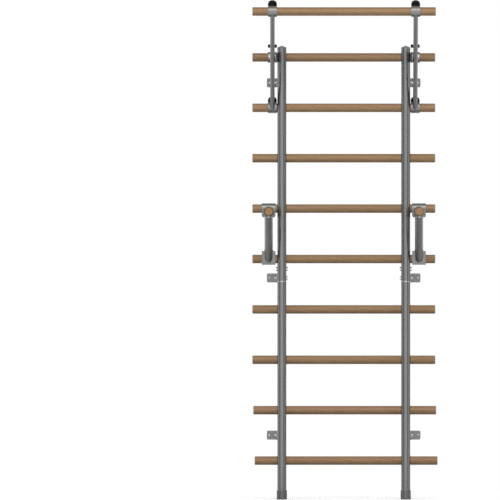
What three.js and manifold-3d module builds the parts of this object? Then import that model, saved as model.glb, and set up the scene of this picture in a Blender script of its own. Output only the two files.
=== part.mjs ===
// Swedish wall bars: a wall-mounted ladder of round wooden rungs in two steel uprights, with a pull-up
// bar on a bolted steel triangle and a pair of hook-on dip bars.
// Millimetres, +Z up, the front faces -Y.
// The origin is on the wall at floor level, midway between the uprights.

import * as THREE from "three";
import { mergeVertices } from "three/addons/utils/BufferGeometryUtils.js";
import Module from "manifold-3d";

const wasm = await Module();
wasm.setup();

// Fits
const GAP = 0.3; // between pieces that rest on or slide into each other
const COLLAR_GAP = 0.5; // between a rung and the collar or hook round it
const WELD = 1; // how far welded shapes run into each other
const SAME_POINT = 1e-4; // corners closer than this are one

// Facets
const ROUND_SIDES = 20; // rungs, collars and tubes
const HOLE_SIDES = 12; // rung holes
const SMALL_SIDES = 8; // bolts, their holes and the inside of closed tubes
const NOSE_STEPS = 8; // half-round nose of the uprights
const CORNER_STEPS = 2; // small rounded corners

// Rungs
const RUNG_COUNT = 9;
const RUNG_DIAMETER = 38;
const RUNG_PITCH = 223;
const FIRST_RUNG_HEIGHT = 172;
const RUNG_OVERHANG = 111; // past the outer face of each upright
const RUNG_SHIFTS = [10, 4]; // the two lowest rungs stand a little to the right
const RUNG_CHAMFER = 3.5;

// Uprights
const UPRIGHT_SPACING = 548; // between centre lines
const UPRIGHT_WIDTH = 40;
const UPRIGHT_DEPTH = 80;
const UPRIGHT_WALL = 2;
const REAR_CORNER_RADIUS = 12;
const WALL_DISTANCE = 105; // wall to the rear face of the uprights
const TOP_MARGIN = 52.5; // top rung to the tip of the top caps

// Top and foot caps
const CAP_RISE = 8.5; // height of the low pyramid
const CAP_BRIM = 1.5;
const CAP_PLUG_WALL = 2;
const CAP_PLUG_CLEARANCE = 2.5; // plug to the top rung
const FOOT_HEIGHT = 40;
const FOOT_WALL = 2.4;
const FOOT_BASE = 3;

// Joint between the lower and upper lengths of an upright
const JOINT_RUNG = 5; // the joint is just below this rung
const JOINT_DROP = 99;
const SLEEVE_WALL = 3;
const SLEEVE_RIM = 3; // shows as a pale line round the upright
const SLEEVE_TOP_CLEARANCE = 5; // to the rung above
const SLEEVE_FOOT_CLEARANCE = 25; // to the rung below
const JOINT_BOLT_RISES = { lower: 15, upper: 55 }; // above the joint

// Bolts, nuts and screws
const BOLT_DIAMETER = 10;
const HEAD_ACROSS_FLATS = 17;
const HEAD_HEIGHT = 6.4;
const HEAD_CROWN = 1.2; // chamfered top of the head
const NUT_HEIGHT = 5.5;
const BOLT_END = 1; // past the nut
const STRUT_BOLT_END = 10; // past the nut on the pull-up struts
const BRACKET_BOLT_END = 12; // inside the upright
const SCREW_DIAMETER = 6;
const SCREW_HEAD_DIAMETER = 15;
const SCREW_HEAD_HEIGHT = 5;
const SCREW_BITE = 15; // into the wood
const LOW_HEAD_DIAMETER = 16; // low domed heads of the bolts through the brackets
const LOW_HEAD_HEIGHT = 2.6;

// Wall brackets
const BRACKET_HEIGHT = 40;
const BRACKET_THICKNESS = 4;
const BRACKET_BEND = 2; // inner radius
const BRACKET_REACH = 46; // along the wall, from the upright
const BRACKET_NOSE = 12; // past the bolt
const BRACKET_CORNER = 6;
const WALL_HOLE_DIAMETER = 7;
const WALL_HOLE_EDGE = 12; // outer hole to the free end
const WALL_HOLE_SPACING = 25;

// Arms and struts of the pull-up bar
const SIDE_GAP = 2; // collar or knob to the upright
const COLLAR_LENGTH = 40;
const COLLAR_WALL = 4.25;
const ARM_RUNG = 8; // the arms clamp on this rung, the struts on the next one up
const ARM_LENGTH = 548; // between the collar axes
const ARM_THICKNESS = 20;
const ARM_EDGE_RADIUS = 9.5;
const ARM_WALL = 2;
const ARM_HOLE_PITCH = 60;
const ARM_SLOT_OFFSET = 108; // from the bar
const ARM_SLOT_LENGTH = 24;
const ARM_SLOT_WIDTH = 6.5;
const STRUT_LENGTH = 187; // rung to bolt, level
const STRUT_BOLT_RISE = 3.5; // bolt above the rung axis
const STRUT_WIDTH = 44.6;
const STRUT_THICKNESS = 6;

// Clamp knobs
const KNOB_DIAMETER = 40;
const KNOB_HEIGHT = 14.6;
const KNOB_BEVEL = 1.5;
const KNOB_FLUTES = 10;
const KNOB_FLUTE_STEPS = 3; // outline points for each flute
const KNOB_FLUTE_DEPTH = 1.6;
const KNOB_NECK = 19; // collar to the head
const HUB_DIAMETER = 20;
const STUD_DIAMETER = 8;
const STUD_SHOW = 2; // bare stud above the collar

// Dip bars
const DIP_RUNG = 6; // the hook hangs here, the saddle rests on the rung below
const DIP_SIDE_GAP = 8.25; // hook to the upright
const DIP_PLATE_WIDTH = 60.5;
const DIP_PLATE = 4; // sheet thickness of hook and saddle
const HOOK_DROP = 39; // legs of the hook below the rung axis
const HOOK_CORNER = 9;
const SADDLE_ABOVE = 12.25; // rung to the saddle's upper flange
const SADDLE_BELOW = 2.25; // rung to its lower flange
const SADDLE_REAR = 18; // flanges behind the rung axis
const GRIP_DIAMETER = 38;
const GRIP_LENGTH = 506;
const GRIP_CHAMFER = 3;
const GRIP_DROP = 14; // grip axis below the rung axis
const GRIP_SEAT = 0.5; // recess in the hook's front
const GRIP_TUBE_WALL = 2.2;
const GRIP_TUBE_LENGTH = 73.5; // closed part of the grip's tube
const GRIP_TUBE_SLANT = 14; // its upper edge is cut back
const TROUGH_LIP = 53; // half-round trough in front of the brace
const TROUGH_EDGE = 5; // its edges lie this far below the grip's axis
const TROUGH_TIP = 15; // and this far at the tip
const TROUGH_NOSE = 14; // length in which they sink
const POST_DIAMETER = 36.5;
const BRACE_DIAMETER = 34;
const DIP_TUBE_WALL = 2; // post and brace
const POST_OFFSET = 29; // post axis in front of the hook
const BRACE_FOOT_RISE = 7.6; // brace axis above the rung, at the saddle
const GRIP_SCREW_EDGE = 10; // to the end of the trough

// Finishes: colour, roughness and metalness
const COATED_STEEL = { color: 0x8e8e8e, roughness: 0.42, metalness: 0.7 };
const BEECH = { color: 0xaa8b6e, roughness: 0.55, metalness: 0 };
const GREY_PLASTIC = { color: 0x6e6e6e, roughness: 0.6, metalness: 0 };
const BLACK_PLASTIC = { color: 0x1e1e1e, roughness: 0.5, metalness: 0 };
const ZINC = { color: 0xc8cacc, roughness: 0.3, metalness: 0.9 };

// Places worked out from the driving dimensions
const SIDES = { left: -1, right: 1 };
const rungRadius = RUNG_DIAMETER / 2;
const rungLength = UPRIGHT_SPACING + UPRIGHT_WIDTH + 2 * RUNG_OVERHANG;
const rungHeight = (number) => FIRST_RUNG_HEIGHT + (number - 1) * RUNG_PITCH;
const rungNumbers = Array.from({ length: RUNG_COUNT }, (_, index) => index + 1);
const rungY = -(WALL_DISTANCE + UPRIGHT_DEPTH / 2);
const outerFace = (UPRIGHT_SPACING + UPRIGHT_WIDTH) / 2;
const innerFace = (UPRIGHT_SPACING - UPRIGHT_WIDTH) / 2;
const jointHeight = rungHeight(JOINT_RUNG) - JOINT_DROP;
const capBottom = rungHeight(RUNG_COUNT) + TOP_MARGIN - CAP_RISE - CAP_BRIM;
const boltRadius = BOLT_DIAMETER / 2;
const screwRadius = SCREW_DIAMETER / 2;
const studRadius = STUD_DIAMETER / 2;
const collarRadius = rungRadius + COLLAR_GAP + COLLAR_WALL;
const bracketFace = outerFace + GAP + BRACKET_THICKNESS;
const armX = outerFace + SIDE_GAP + Math.max(COLLAR_LENGTH, KNOB_DIAMETER) / 2;
const armBoltHeight = RUNG_PITCH + STRUT_BOLT_RISE; // above the arm's rung
const armAngle = Math.atan2(STRUT_LENGTH, armBoltHeight); // from the vertical
const armBoltDistance = Math.hypot(STRUT_LENGTH, armBoltHeight);
const strutFace = ARM_THICKNESS / 2 + GAP; // strut's outer face, inwards from the arm's middle
const dipX = outerFace + DIP_SIDE_GAP + DIP_PLATE_WIDTH / 2;
const jointBoltHeights = {
  lower: jointHeight + JOINT_BOLT_RISES.lower,
  upper: jointHeight + JOINT_BOLT_RISES.upper,
};
const bracketHeights = {
  lower: rungHeight(1) + RUNG_PITCH / 2,
  middle: jointBoltHeights.lower,
  upper: rungHeight(RUNG_COUNT - 1) + RUNG_PITCH / 2,
};

// Geometry to solid and back, for joining and cutting

function toSolid(geometry) {
  const bare = geometry.clone();
  bare.deleteAttribute("normal");
  bare.deleteAttribute("uv");
  const merged = mergeVertices(bare, SAME_POINT);
  return new wasm.Manifold(
    new wasm.Mesh({
      numProp: 3,
      vertProperties: new Float32Array(merged.attributes.position.array),
      triVerts: new Uint32Array(merged.index.array),
    }),
  );
}

function toGeometry(solid) {
  const { vertProperties, triVerts } = solid.getMesh();
  const geometry = new THREE.BufferGeometry();
  geometry.setAttribute("position", new THREE.BufferAttribute(vertProperties, 3));
  geometry.setIndex(new THREE.BufferAttribute(triVerts, 1));
  geometry.computeVertexNormals();
  return geometry;
}

function join(...pieces) {
  return toGeometry(pieces.map(toSolid).reduce((whole, piece) => whole.add(piece)));
}

function cut(base, ...tools) {
  return toGeometry(tools.map(toSolid).reduce((rest, tool) => rest.subtract(tool), toSolid(base)));
}

function common(...pieces) {
  return toGeometry(pieces.map(toSolid).reduce((shared, piece) => shared.intersect(piece)));
}

// The right-hand form, or its mirror image for the left side.
function handed(geometry, side) {
  if (side === SIDES.right) {
    return geometry;
  }
  const mirror = geometry.clone().scale(-1, 1, 1);
  const corners = mirror.index.array;
  for (let first = 0; first < corners.length; first += 3) {
    [corners[first], corners[first + 1]] = [corners[first + 1], corners[first]];
  }
  mirror.computeVertexNormals();
  return mirror;
}

// Outlines and simple forms

function arc(x, y, radius, from, to, steps) {
  return Array.from({ length: steps + 1 }, (_, step) => {
    const angle = from + ((to - from) * step) / steps;
    return new THREE.Vector2(x + radius * Math.cos(angle), y + radius * Math.sin(angle));
  });
}

function circle(radius, sides) {
  return arc(0, 0, radius, 0, 2 * Math.PI, sides).slice(0, sides);
}

function outline(...corners) {
  return corners.map(([x, y]) => new THREE.Vector2(x, y));
}

// A rectangle with a radius for each corner, counter-clockwise from the low one: 0 leaves it sharp.
function roundedRectangle(low, high, radii) {
  const places = [
    [low[0], low[1], 1, 1],
    [high[0], low[1], -1, 1],
    [high[0], high[1], -1, -1],
    [low[0], high[1], 1, -1],
  ];
  return places.flatMap(([x, y, inX, inY], corner) => {
    const radius = radii[corner];
    const from = Math.PI + (corner * Math.PI) / 2;
    return radius > 0
      ? arc(x + inX * radius, y + inY * radius, radius, from, from + Math.PI / 2, CORNER_STEPS)
      : outline([x, y]);
  });
}

// A slot that is long in y: two half circles joined by straight sides.
function slotOutline(length, width) {
  const reach = (length - width) / 2;
  return [
    ...arc(0, reach, width / 2, 0, Math.PI, SMALL_SIDES / 2),
    ...arc(0, -reach, width / 2, Math.PI, 2 * Math.PI, SMALL_SIDES / 2),
  ];
}

function extrude(points, start, end, holes = []) {
  const shape = new THREE.Shape(points);
  shape.holes = holes.map((hole) => new THREE.Path(hole));
  const form = new THREE.ExtrudeGeometry(shape, { depth: end - start, bevelEnabled: false });
  return form.translate(0, 0, start);
}

// A straight-sided rim with a pyramid over it, its tip above the outline's own zero.
function pyramid(points, rim, rise) {
  const corners = [];
  const base = THREE.ShapeUtils.triangulateShape(points, []);
  const place = (index, z) => [points[index % points.length].x, points[index % points.length].y, z];
  base.forEach(([a, b, c]) => corners.push(place(a, 0), place(c, 0), place(b, 0)));
  points.forEach((_, index) => {
    corners.push(place(index, 0), place(index + 1, 0), place(index + 1, rim));
    corners.push(place(index, 0), place(index + 1, rim), place(index, rim));
    corners.push(place(index, rim), place(index + 1, rim), [0, 0, rim + rise]);
  });
  const form = new THREE.BufferGeometry();
  form.setAttribute("position", new THREE.Float32BufferAttribute(corners.flat(), 3));
  return form;
}

// A round bar along Z.
function rod(radius, start, end, sides = ROUND_SIDES) {
  const bar = new THREE.CylinderGeometry(radius, radius, end - start, sides);
  return bar.rotateX(Math.PI / 2).translate(0, 0, (start + end) / 2);
}

// A turned form about Z from [radius, z] pairs in rising order, starting and ending on the axis.
function turned(profile, sides) {
  return new THREE.LatheGeometry(outline(...profile), sides).rotateX(Math.PI / 2);
}

// A wooden bar along Z with chamfered ends.
function woodenBar(radius, start, end, chamfer) {
  return turned(
    [
      [0, start],
      [radius - chamfer, start],
      [radius, start + chamfer],
      [radius, end - chamfer],
      [radius - chamfer, end],
      [0, end],
    ],
    ROUND_SIDES,
  );
}

// Turns a form made along Z so that it runs along +X: its outline's x and y become Y and Z.
function alongX(geometry) {
  const turn = new THREE.Matrix4().makeBasis(
    new THREE.Vector3(0, 1, 0),
    new THREE.Vector3(0, 0, 1),
    new THREE.Vector3(1, 0, 0),
  );
  return geometry.applyMatrix4(turn);
}

// Turns a form made along Z so that it runs forward, along -Y: its outline's x and y become X and Z.
function forward(geometry) {
  return geometry.rotateX(Math.PI / 2);
}

// The upright's D section, `growth` larger all round: half-round nose in front, rounded corners at the rear.
// Its zero is on the rung axis.
function section(growth) {
  const half = UPRIGHT_WIDTH / 2 + growth;
  const nose = (UPRIGHT_WIDTH - UPRIGHT_DEPTH) / 2;
  const rear = UPRIGHT_DEPTH / 2 + growth;
  const corner = Math.min(REAR_CORNER_RADIUS + growth, half);
  return [
    ...arc(0, nose, half, Math.PI, 2 * Math.PI, NOSE_STEPS),
    ...arc(half - corner, rear - corner, corner, 0, Math.PI / 2, CORNER_STEPS),
    ...arc(corner - half, rear - corner, corner, Math.PI / 2, Math.PI, CORNER_STEPS),
  ];
}

// Fasteners along Z: the head's seat is at z = 0 and the shank runs towards +Z

function hexagon() {
  return circle(HEAD_ACROSS_FLATS / Math.sqrt(3), 6);
}

function hexBolt(shankLength) {
  const shoulder = HEAD_CROWN - HEAD_HEIGHT;
  const crownRadius = HEAD_ACROSS_FLATS / 2 - GAP;
  const crown = turned(
    [
      [0, -HEAD_HEIGHT],
      [crownRadius - HEAD_CROWN, -HEAD_HEIGHT],
      [crownRadius, shoulder],
      [crownRadius, shoulder + WELD],
      [0, shoulder + WELD],
    ],
    SMALL_SIDES,
  );
  const shank = rod(boltRadius, -WELD, shankLength, SMALL_SIDES);
  return join(extrude(hexagon(), shoulder, 0), crown, shank);
}

function hexNut() {
  return extrude(hexagon(), 0, NUT_HEIGHT, [circle(holeRadius(boltRadius, SMALL_SIDES), SMALL_SIDES)]);
}

function domed(headDiameter, headHeight, shankRadius, shankLength) {
  const dome = arc(0, 0, 1, -Math.PI / 2, 0, CORNER_STEPS);
  const profile = dome.map(({ x, y }) => [(x * headDiameter) / 2, y * headHeight]);
  profile.push([shankRadius, 0], [shankRadius, shankLength], [0, shankLength]);
  return turned(profile, SMALL_SIDES);
}

function domedScrew(shankLength) {
  return domed(SCREW_HEAD_DIAMETER, SCREW_HEAD_HEIGHT, screwRadius, shankLength);
}

function lowBolt(shankLength) {
  return domed(LOW_HEAD_DIAMETER, LOW_HEAD_HEIGHT, boltRadius, shankLength);
}

// Holes along Z, whose flats clear what goes through them by the gap

function holeRadius(radius, sides) {
  return (radius + GAP) / Math.cos(Math.PI / sides);
}

function hole(radius, start, end, sides = SMALL_SIDES) {
  return rod(holeRadius(radius, sides), start, end, sides);
}

// Uprights, their caps and joint sleeves: zero on the rung axis in plan and on the floor in height

function uprightLength(bottom, top) {
  const within = (height) => height > bottom && height < top;
  const tube = extrude(section(0), bottom, top, [section(-UPRIGHT_WALL)]);
  const rungHoles = rungNumbers
    .map(rungHeight)
    .filter(within)
    .map((height) =>
      alongX(hole(rungRadius, -UPRIGHT_WIDTH, UPRIGHT_WIDTH, HOLE_SIDES)).translate(0, 0, height),
    );
  const throughHoles = Object.values(jointBoltHeights)
    .filter(within)
    .map((height) => alongX(hole(boltRadius, -UPRIGHT_WIDTH, UPRIGHT_WIDTH)).translate(0, 0, height));
  const outerHoles = [bracketHeights.lower, bracketHeights.upper]
    .filter(within)
    .map((height) => alongX(hole(boltRadius, 0, UPRIGHT_WIDTH)).translate(0, 0, height));
  const rearHoles = [rungHeight(1)]
    .filter(within)
    .map((height) => forward(hole(screwRadius, -UPRIGHT_DEPTH, 0)).translate(0, 0, height));
  return cut(tube, ...rungHoles, ...throughHoles, ...outerHoles, ...rearHoles);
}

function jointSleeve() {
  const bottom = rungHeight(JOINT_RUNG - 1) + rungRadius + SLEEVE_FOOT_CLEARANCE;
  const top = rungHeight(JOINT_RUNG) - rungRadius - SLEEVE_TOP_CLEARANCE;
  const fit = -(UPRIGHT_WALL + GAP);
  const body = extrude(section(fit), bottom, top);
  const rim = extrude(section(0), jointHeight - SLEEVE_RIM / 2, jointHeight + SLEEVE_RIM / 2);
  const core = extrude(section(fit - SLEEVE_WALL), bottom - WELD, top + WELD);
  const holes = Object.values(jointBoltHeights).map((height) =>
    alongX(hole(boltRadius, -UPRIGHT_WIDTH, UPRIGHT_WIDTH)).translate(0, 0, height),
  );
  return cut(join(body, rim), core, ...holes);
}

function topCap() {
  const plugBottom = rungHeight(RUNG_COUNT) + rungRadius + CAP_PLUG_CLEARANCE;
  const fit = -(UPRIGHT_WALL + GAP);
  const plug = extrude(section(fit), plugBottom, capBottom + WELD, [section(fit - CAP_PLUG_WALL)]);
  const roof = pyramid(section(0), CAP_BRIM, CAP_RISE).translate(0, 0, capBottom);
  return join(roof, plug);
}

function footCap() {
  const cup = extrude(section(GAP + FOOT_WALL), 0, FOOT_HEIGHT);
  const pocket = extrude(section(GAP), FOOT_BASE, FOOT_HEIGHT + WELD);
  return cut(cup, pocket);
}

// Rungs: along X, zero at the middle

function rung(number, shift) {
  const bar = alongX(woodenBar(rungRadius, -rungLength / 2, rungLength / 2, RUNG_CHAMFER));
  if (number > 1) {
    return bar;
  }
  const pilots = Object.values(SIDES).map((side) =>
    forward(hole(screwRadius, -rungRadius - WELD, SCREW_BITE + GAP - rungRadius)).translate(
      (side * UPRIGHT_SPACING) / 2 - shift,
      0,
      0,
    ),
  );
  return cut(bar, ...pilots);
}

// Wall brackets: zero on the upright's outer face, on the wall and at mid height

function wallBracket() {
  const half = BRACKET_HEIGHT / 2;
  const thick = BRACKET_THICKNESS;
  const outerBend = BRACKET_BEND + thick;
  const front = rungY - BRACKET_NOSE;
  const bent = [
    ...outline([0, front], [thick, front]),
    ...arc(outerBend, -outerBend, BRACKET_BEND, Math.PI, Math.PI / 2, CORNER_STEPS),
    ...outline([BRACKET_REACH, -thick], [BRACKET_REACH, 0]),
    ...arc(outerBend, -outerBend, outerBend, Math.PI / 2, Math.PI, CORNER_STEPS),
  ];
  const angle = extrude(bent, -half, half);
  const round = BRACKET_CORNER;
  const sideView = roundedRectangle([front, -half], [WELD, half], [round, 0, 0, round]);
  const frontView = roundedRectangle([-WELD, -half], [BRACKET_REACH, half], [0, round, round, 0]);
  const trimmed = common(
    angle,
    alongX(extrude(sideView, -WELD, BRACKET_REACH + WELD)),
    forward(extrude(frontView, -WELD, -front + WELD)),
  );
  const outerHole = BRACKET_REACH - WALL_HOLE_EDGE;
  const wallHoles = [outerHole, outerHole - WALL_HOLE_SPACING].map((x) =>
    forward(rod(WALL_HOLE_DIAMETER / 2, -WELD, outerBend, SMALL_SIDES)).translate(x, 0, 0),
  );
  const bolt = alongX(hole(boltRadius, -WELD, thick + WELD)).translate(0, rungY, 0);
  return cut(trimmed, ...wallHoles, bolt);
}

// Pull-up arms: along +Z from the rung's axis to the bar's, with +Y on the side of the knobs

function collar() {
  return alongX(rod(collarRadius, -COLLAR_LENGTH / 2, COLLAR_LENGTH / 2));
}

function collarBore() {
  return alongX(rod(rungRadius + COLLAR_GAP, -COLLAR_LENGTH, COLLAR_LENGTH));
}

function studHole() {
  return hole(studRadius, rungRadius, collarRadius + WELD);
}

function pullUpArm() {
  const corner = [ARM_THICKNESS / 2, collarRadius];
  const inner = corner.map((size) => size - ARM_WALL);
  const rectangle = ([x, y], radius) => roundedRectangle([-x, -y], [x, y], Array(4).fill(radius));
  const tube = extrude(rectangle(corner, ARM_EDGE_RADIUS), 0, ARM_LENGTH, [
    rectangle(inner, ARM_EDGE_RADIUS - ARM_WALL),
  ]);
  const ends = [0, ARM_LENGTH];
  const collars = ends.map((end) => collar().translate(0, 0, end));
  const bores = ends.map((end) => collarBore().translate(0, 0, end));
  const studHoles = ends.map((end) => studHole().rotateX(-Math.PI / 2).translate(0, 0, end));
  const boltHoles = [-1, 0, 1].map((step) => {
    const place = armBoltDistance + step * ARM_HOLE_PITCH;
    return alongX(hole(boltRadius, -ARM_THICKNESS, ARM_THICKNESS)).translate(0, 0, place);
  });
  const slot = extrude(slotOutline(ARM_SLOT_LENGTH, ARM_SLOT_WIDTH), -ARM_THICKNESS, ARM_THICKNESS);
  const slotPlace = ARM_LENGTH - ARM_SLOT_OFFSET;
  return cut(
    join(tube, ...collars),
    ...bores,
    ...studHoles,
    ...boltHoles,
    alongX(slot).translate(0, 0, slotPlace),
  );
}

// Struts: zero on the rung's axis in the middle of the collar

function pullUpStrut() {
  const half = STRUT_WIDTH / 2;
  const flat = [
    ...arc(-STRUT_LENGTH, 0, half, Math.PI / 2, (3 * Math.PI) / 2, ROUND_SIDES / 2),
    ...outline([0, -half], [0, half]),
  ];
  const bar = alongX(extrude(flat, -strutFace - STRUT_THICKNESS, -strutFace));
  const bolt = alongX(hole(boltRadius, -COLLAR_LENGTH, 0)).translate(0, -STRUT_LENGTH, STRUT_BOLT_RISE);
  return cut(join(collar(), bar), collarBore(), studHole(), bolt);
}

// Clamp knobs: along +Z from the axis of the rung that the stud presses on

function clampKnob() {
  const headStart = collarRadius + KNOB_NECK;
  const points = KNOB_FLUTES * KNOB_FLUTE_STEPS;
  const fluted = Array.from({ length: points }, (_, index) => {
    const turn = (2 * Math.PI * index) / points;
    const groove = (KNOB_FLUTE_DEPTH * (1 - Math.cos(KNOB_FLUTES * turn))) / 2;
    const radius = KNOB_DIAMETER / 2 - groove;
    return new THREE.Vector2(radius * Math.cos(turn), radius * Math.sin(turn));
  });
  const head = new THREE.ExtrudeGeometry(new THREE.Shape(fluted), {
    depth: KNOB_HEIGHT - 2 * KNOB_BEVEL,
    bevelThickness: KNOB_BEVEL,
    bevelSize: KNOB_BEVEL,
    bevelOffset: -KNOB_BEVEL,
    bevelSegments: 1,
  }).translate(0, 0, headStart + KNOB_BEVEL);
  const stem = turned(
    [
      [0, rungRadius + GAP],
      [studRadius, rungRadius + GAP],
      [studRadius, collarRadius + STUD_SHOW],
      [HUB_DIAMETER / 2, headStart + KNOB_BEVEL],
      [HUB_DIAMETER / 2, headStart + KNOB_BEVEL + WELD],
      [0, headStart + KNOB_BEVEL + WELD],
    ],
    SMALL_SIDES,
  );
  return join(head, stem);
}

// Dip bars: zero on the axis of the rung that the hook hangs on; `ahead` is the distance in front of it

const hookInner = rungRadius + COLLAR_GAP;
const hookAhead = hookInner + DIP_PLATE;
const saddleInner = rungRadius + GAP;
const saddleAhead = saddleInner + DIP_PLATE;
const gripRadius = GRIP_DIAMETER / 2;
const gripStart = hookAhead - GRIP_SEAT + GAP;
const gripTubeRadius = gripRadius + GAP + GRIP_TUBE_WALL;
const postRadius = POST_DIAMETER / 2;
const braceRadius = BRACE_DIAMETER / 2;
const postAhead = hookAhead + POST_OFFSET;
const braceFoot = BRACE_FOOT_RISE - RUNG_PITCH;
const braceRise = -GRIP_DROP - braceFoot; // at 45 degrees, up to the grip's axis
const troughEnd = saddleAhead + braceRise - gripTubeRadius + TROUGH_LIP;
const gripScrewAhead = troughEnd - GRIP_SCREW_EDGE;

function dipHook() {
  const half = DIP_PLATE_WIDTH / 2;
  const bent = [
    ...arc(0, 0, hookAhead, 0, Math.PI, ROUND_SIDES / 2),
    ...outline([-hookAhead, -HOOK_DROP], [-hookInner, -HOOK_DROP]),
    ...arc(0, 0, hookInner, Math.PI, 0, ROUND_SIDES / 2),
    ...outline([hookInner, -HOOK_DROP], [hookAhead, -HOOK_DROP]),
  ];
  const corners = [HOOK_CORNER, HOOK_CORNER, 0, 0];
  const frontView = roundedRectangle([-half, -HOOK_DROP], [half, hookAhead + WELD], corners);
  return common(
    alongX(extrude(bent, -half, half)),
    forward(extrude(frontView, -hookAhead - WELD, hookAhead + WELD)),
  );
}

function dipSaddle() {
  const half = DIP_PLATE_WIDTH / 2;
  const above = rungRadius + SADDLE_ABOVE;
  const below = -(rungRadius + SADDLE_BELOW);
  const channel = outline(
    [SADDLE_REAR, above + DIP_PLATE],
    [-saddleAhead, above + DIP_PLATE],
    [-saddleAhead, below - DIP_PLATE],
    [SADDLE_REAR, below - DIP_PLATE],
    [SADDLE_REAR, below],
    [-saddleInner, below],
    [-saddleInner, above],
    [SADDLE_REAR, above],
  );
  return alongX(extrude(channel, -half, half)).translate(0, 0, -RUNG_PITCH);
}

// A tube on the hook for the grip, cut down to its lower half in front of a slanted edge.
function gripTube() {
  const tube = forward(rod(gripTubeRadius, hookAhead - WELD, troughEnd)).translate(0, 0, -GRIP_DROP);
  const edge = hookAhead + GRIP_TUBE_LENGTH;
  const clear = gripTubeRadius + WELD;
  const open = outline(
    [-edge, -GRIP_DROP - TROUGH_EDGE],
    [-edge + GRIP_TUBE_SLANT, clear - GRIP_DROP],
    [-troughEnd - WELD, clear - GRIP_DROP],
    [-troughEnd - WELD, -GRIP_DROP - TROUGH_TIP],
    [-troughEnd + TROUGH_NOSE, -GRIP_DROP - TROUGH_EDGE],
  );
  return cut(tube, alongX(extrude(open, -clear, clear)));
}

// The post stands on the brace. The brace runs up at 45 degrees from a plane `back` ahead of the rung axis.
function dipPost(radius, sides) {
  const foot = braceFoot + postAhead - saddleAhead;
  return rod(radius, foot, -GRIP_DROP, sides).translate(0, -postAhead, 0);
}

function dipBrace(radius, back, sides) {
  const overrun = BRACE_DIAMETER;
  const tube = rod(radius, -overrun, braceRise * Math.SQRT2, sides)
    .rotateX(Math.PI / 4)
    .translate(0, -saddleAhead, braceFoot);
  const behind = extrude(
    outline([-overrun, -back], [overrun, -back], [overrun, overrun], [-overrun, overrun]),
    braceFoot - 2 * overrun,
    braceFoot + 2 * overrun,
  );
  return cut(tube, behind);
}

function dipFrame() {
  const post = dipPost(postRadius, ROUND_SIDES);
  const brace = dipBrace(braceRadius, saddleAhead - WELD, ROUND_SIDES);
  const gripBore = forward(rod(gripRadius + GAP, hookAhead - GRIP_SEAT, troughEnd + WELD));
  const screw = hole(screwRadius, -2 * gripTubeRadius, 0).translate(0, -gripScrewAhead, -GRIP_DROP);
  return cut(
    join(dipHook(), gripTube(), post, brace, dipSaddle()),
    dipPost(postRadius - DIP_TUBE_WALL, SMALL_SIDES),
    dipBrace(braceRadius - DIP_TUBE_WALL, saddleAhead + GAP, SMALL_SIDES),
    gripBore.translate(0, 0, -GRIP_DROP),
    screw,
  );
}

function dipGrip() {
  const bar = forward(woodenBar(gripRadius, gripStart, gripStart + GRIP_LENGTH, GRIP_CHAMFER));
  const pilot = hole(screwRadius, -gripRadius - WELD, SCREW_BITE + GAP - gripRadius);
  return cut(bar, pilot.translate(0, -gripScrewAhead, 0)).translate(0, 0, -GRIP_DROP);
}

// Assembly

function add(parent, name, geometry, finish, place = [0, 0, 0], turn = [0, 0, 0]) {
  const mesh = new THREE.Mesh(geometry, new THREE.MeshStandardMaterial(finish));
  mesh.name = name;
  mesh.position.set(...place);
  mesh.rotation.set(...turn);
  parent.add(mesh);
}

const wallBars = new THREE.Group();

rungNumbers.forEach((number) => {
  const shift = RUNG_SHIFTS[number - 1] ?? 0;
  add(wallBars, `rung_${number}`, rung(number, shift), BEECH, [shift, rungY, rungHeight(number)]);
});

const arms = new THREE.Group();
arms.position.set(0, rungY, rungHeight(ARM_RUNG));
arms.rotation.x = armAngle;
wallBars.add(arms);
add(
  arms,
  "pull_up_bar",
  alongX(woodenBar(rungRadius, -rungLength / 2, rungLength / 2, RUNG_CHAMFER)),
  BEECH,
  [0, 0, ARM_LENGTH],
);

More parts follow.
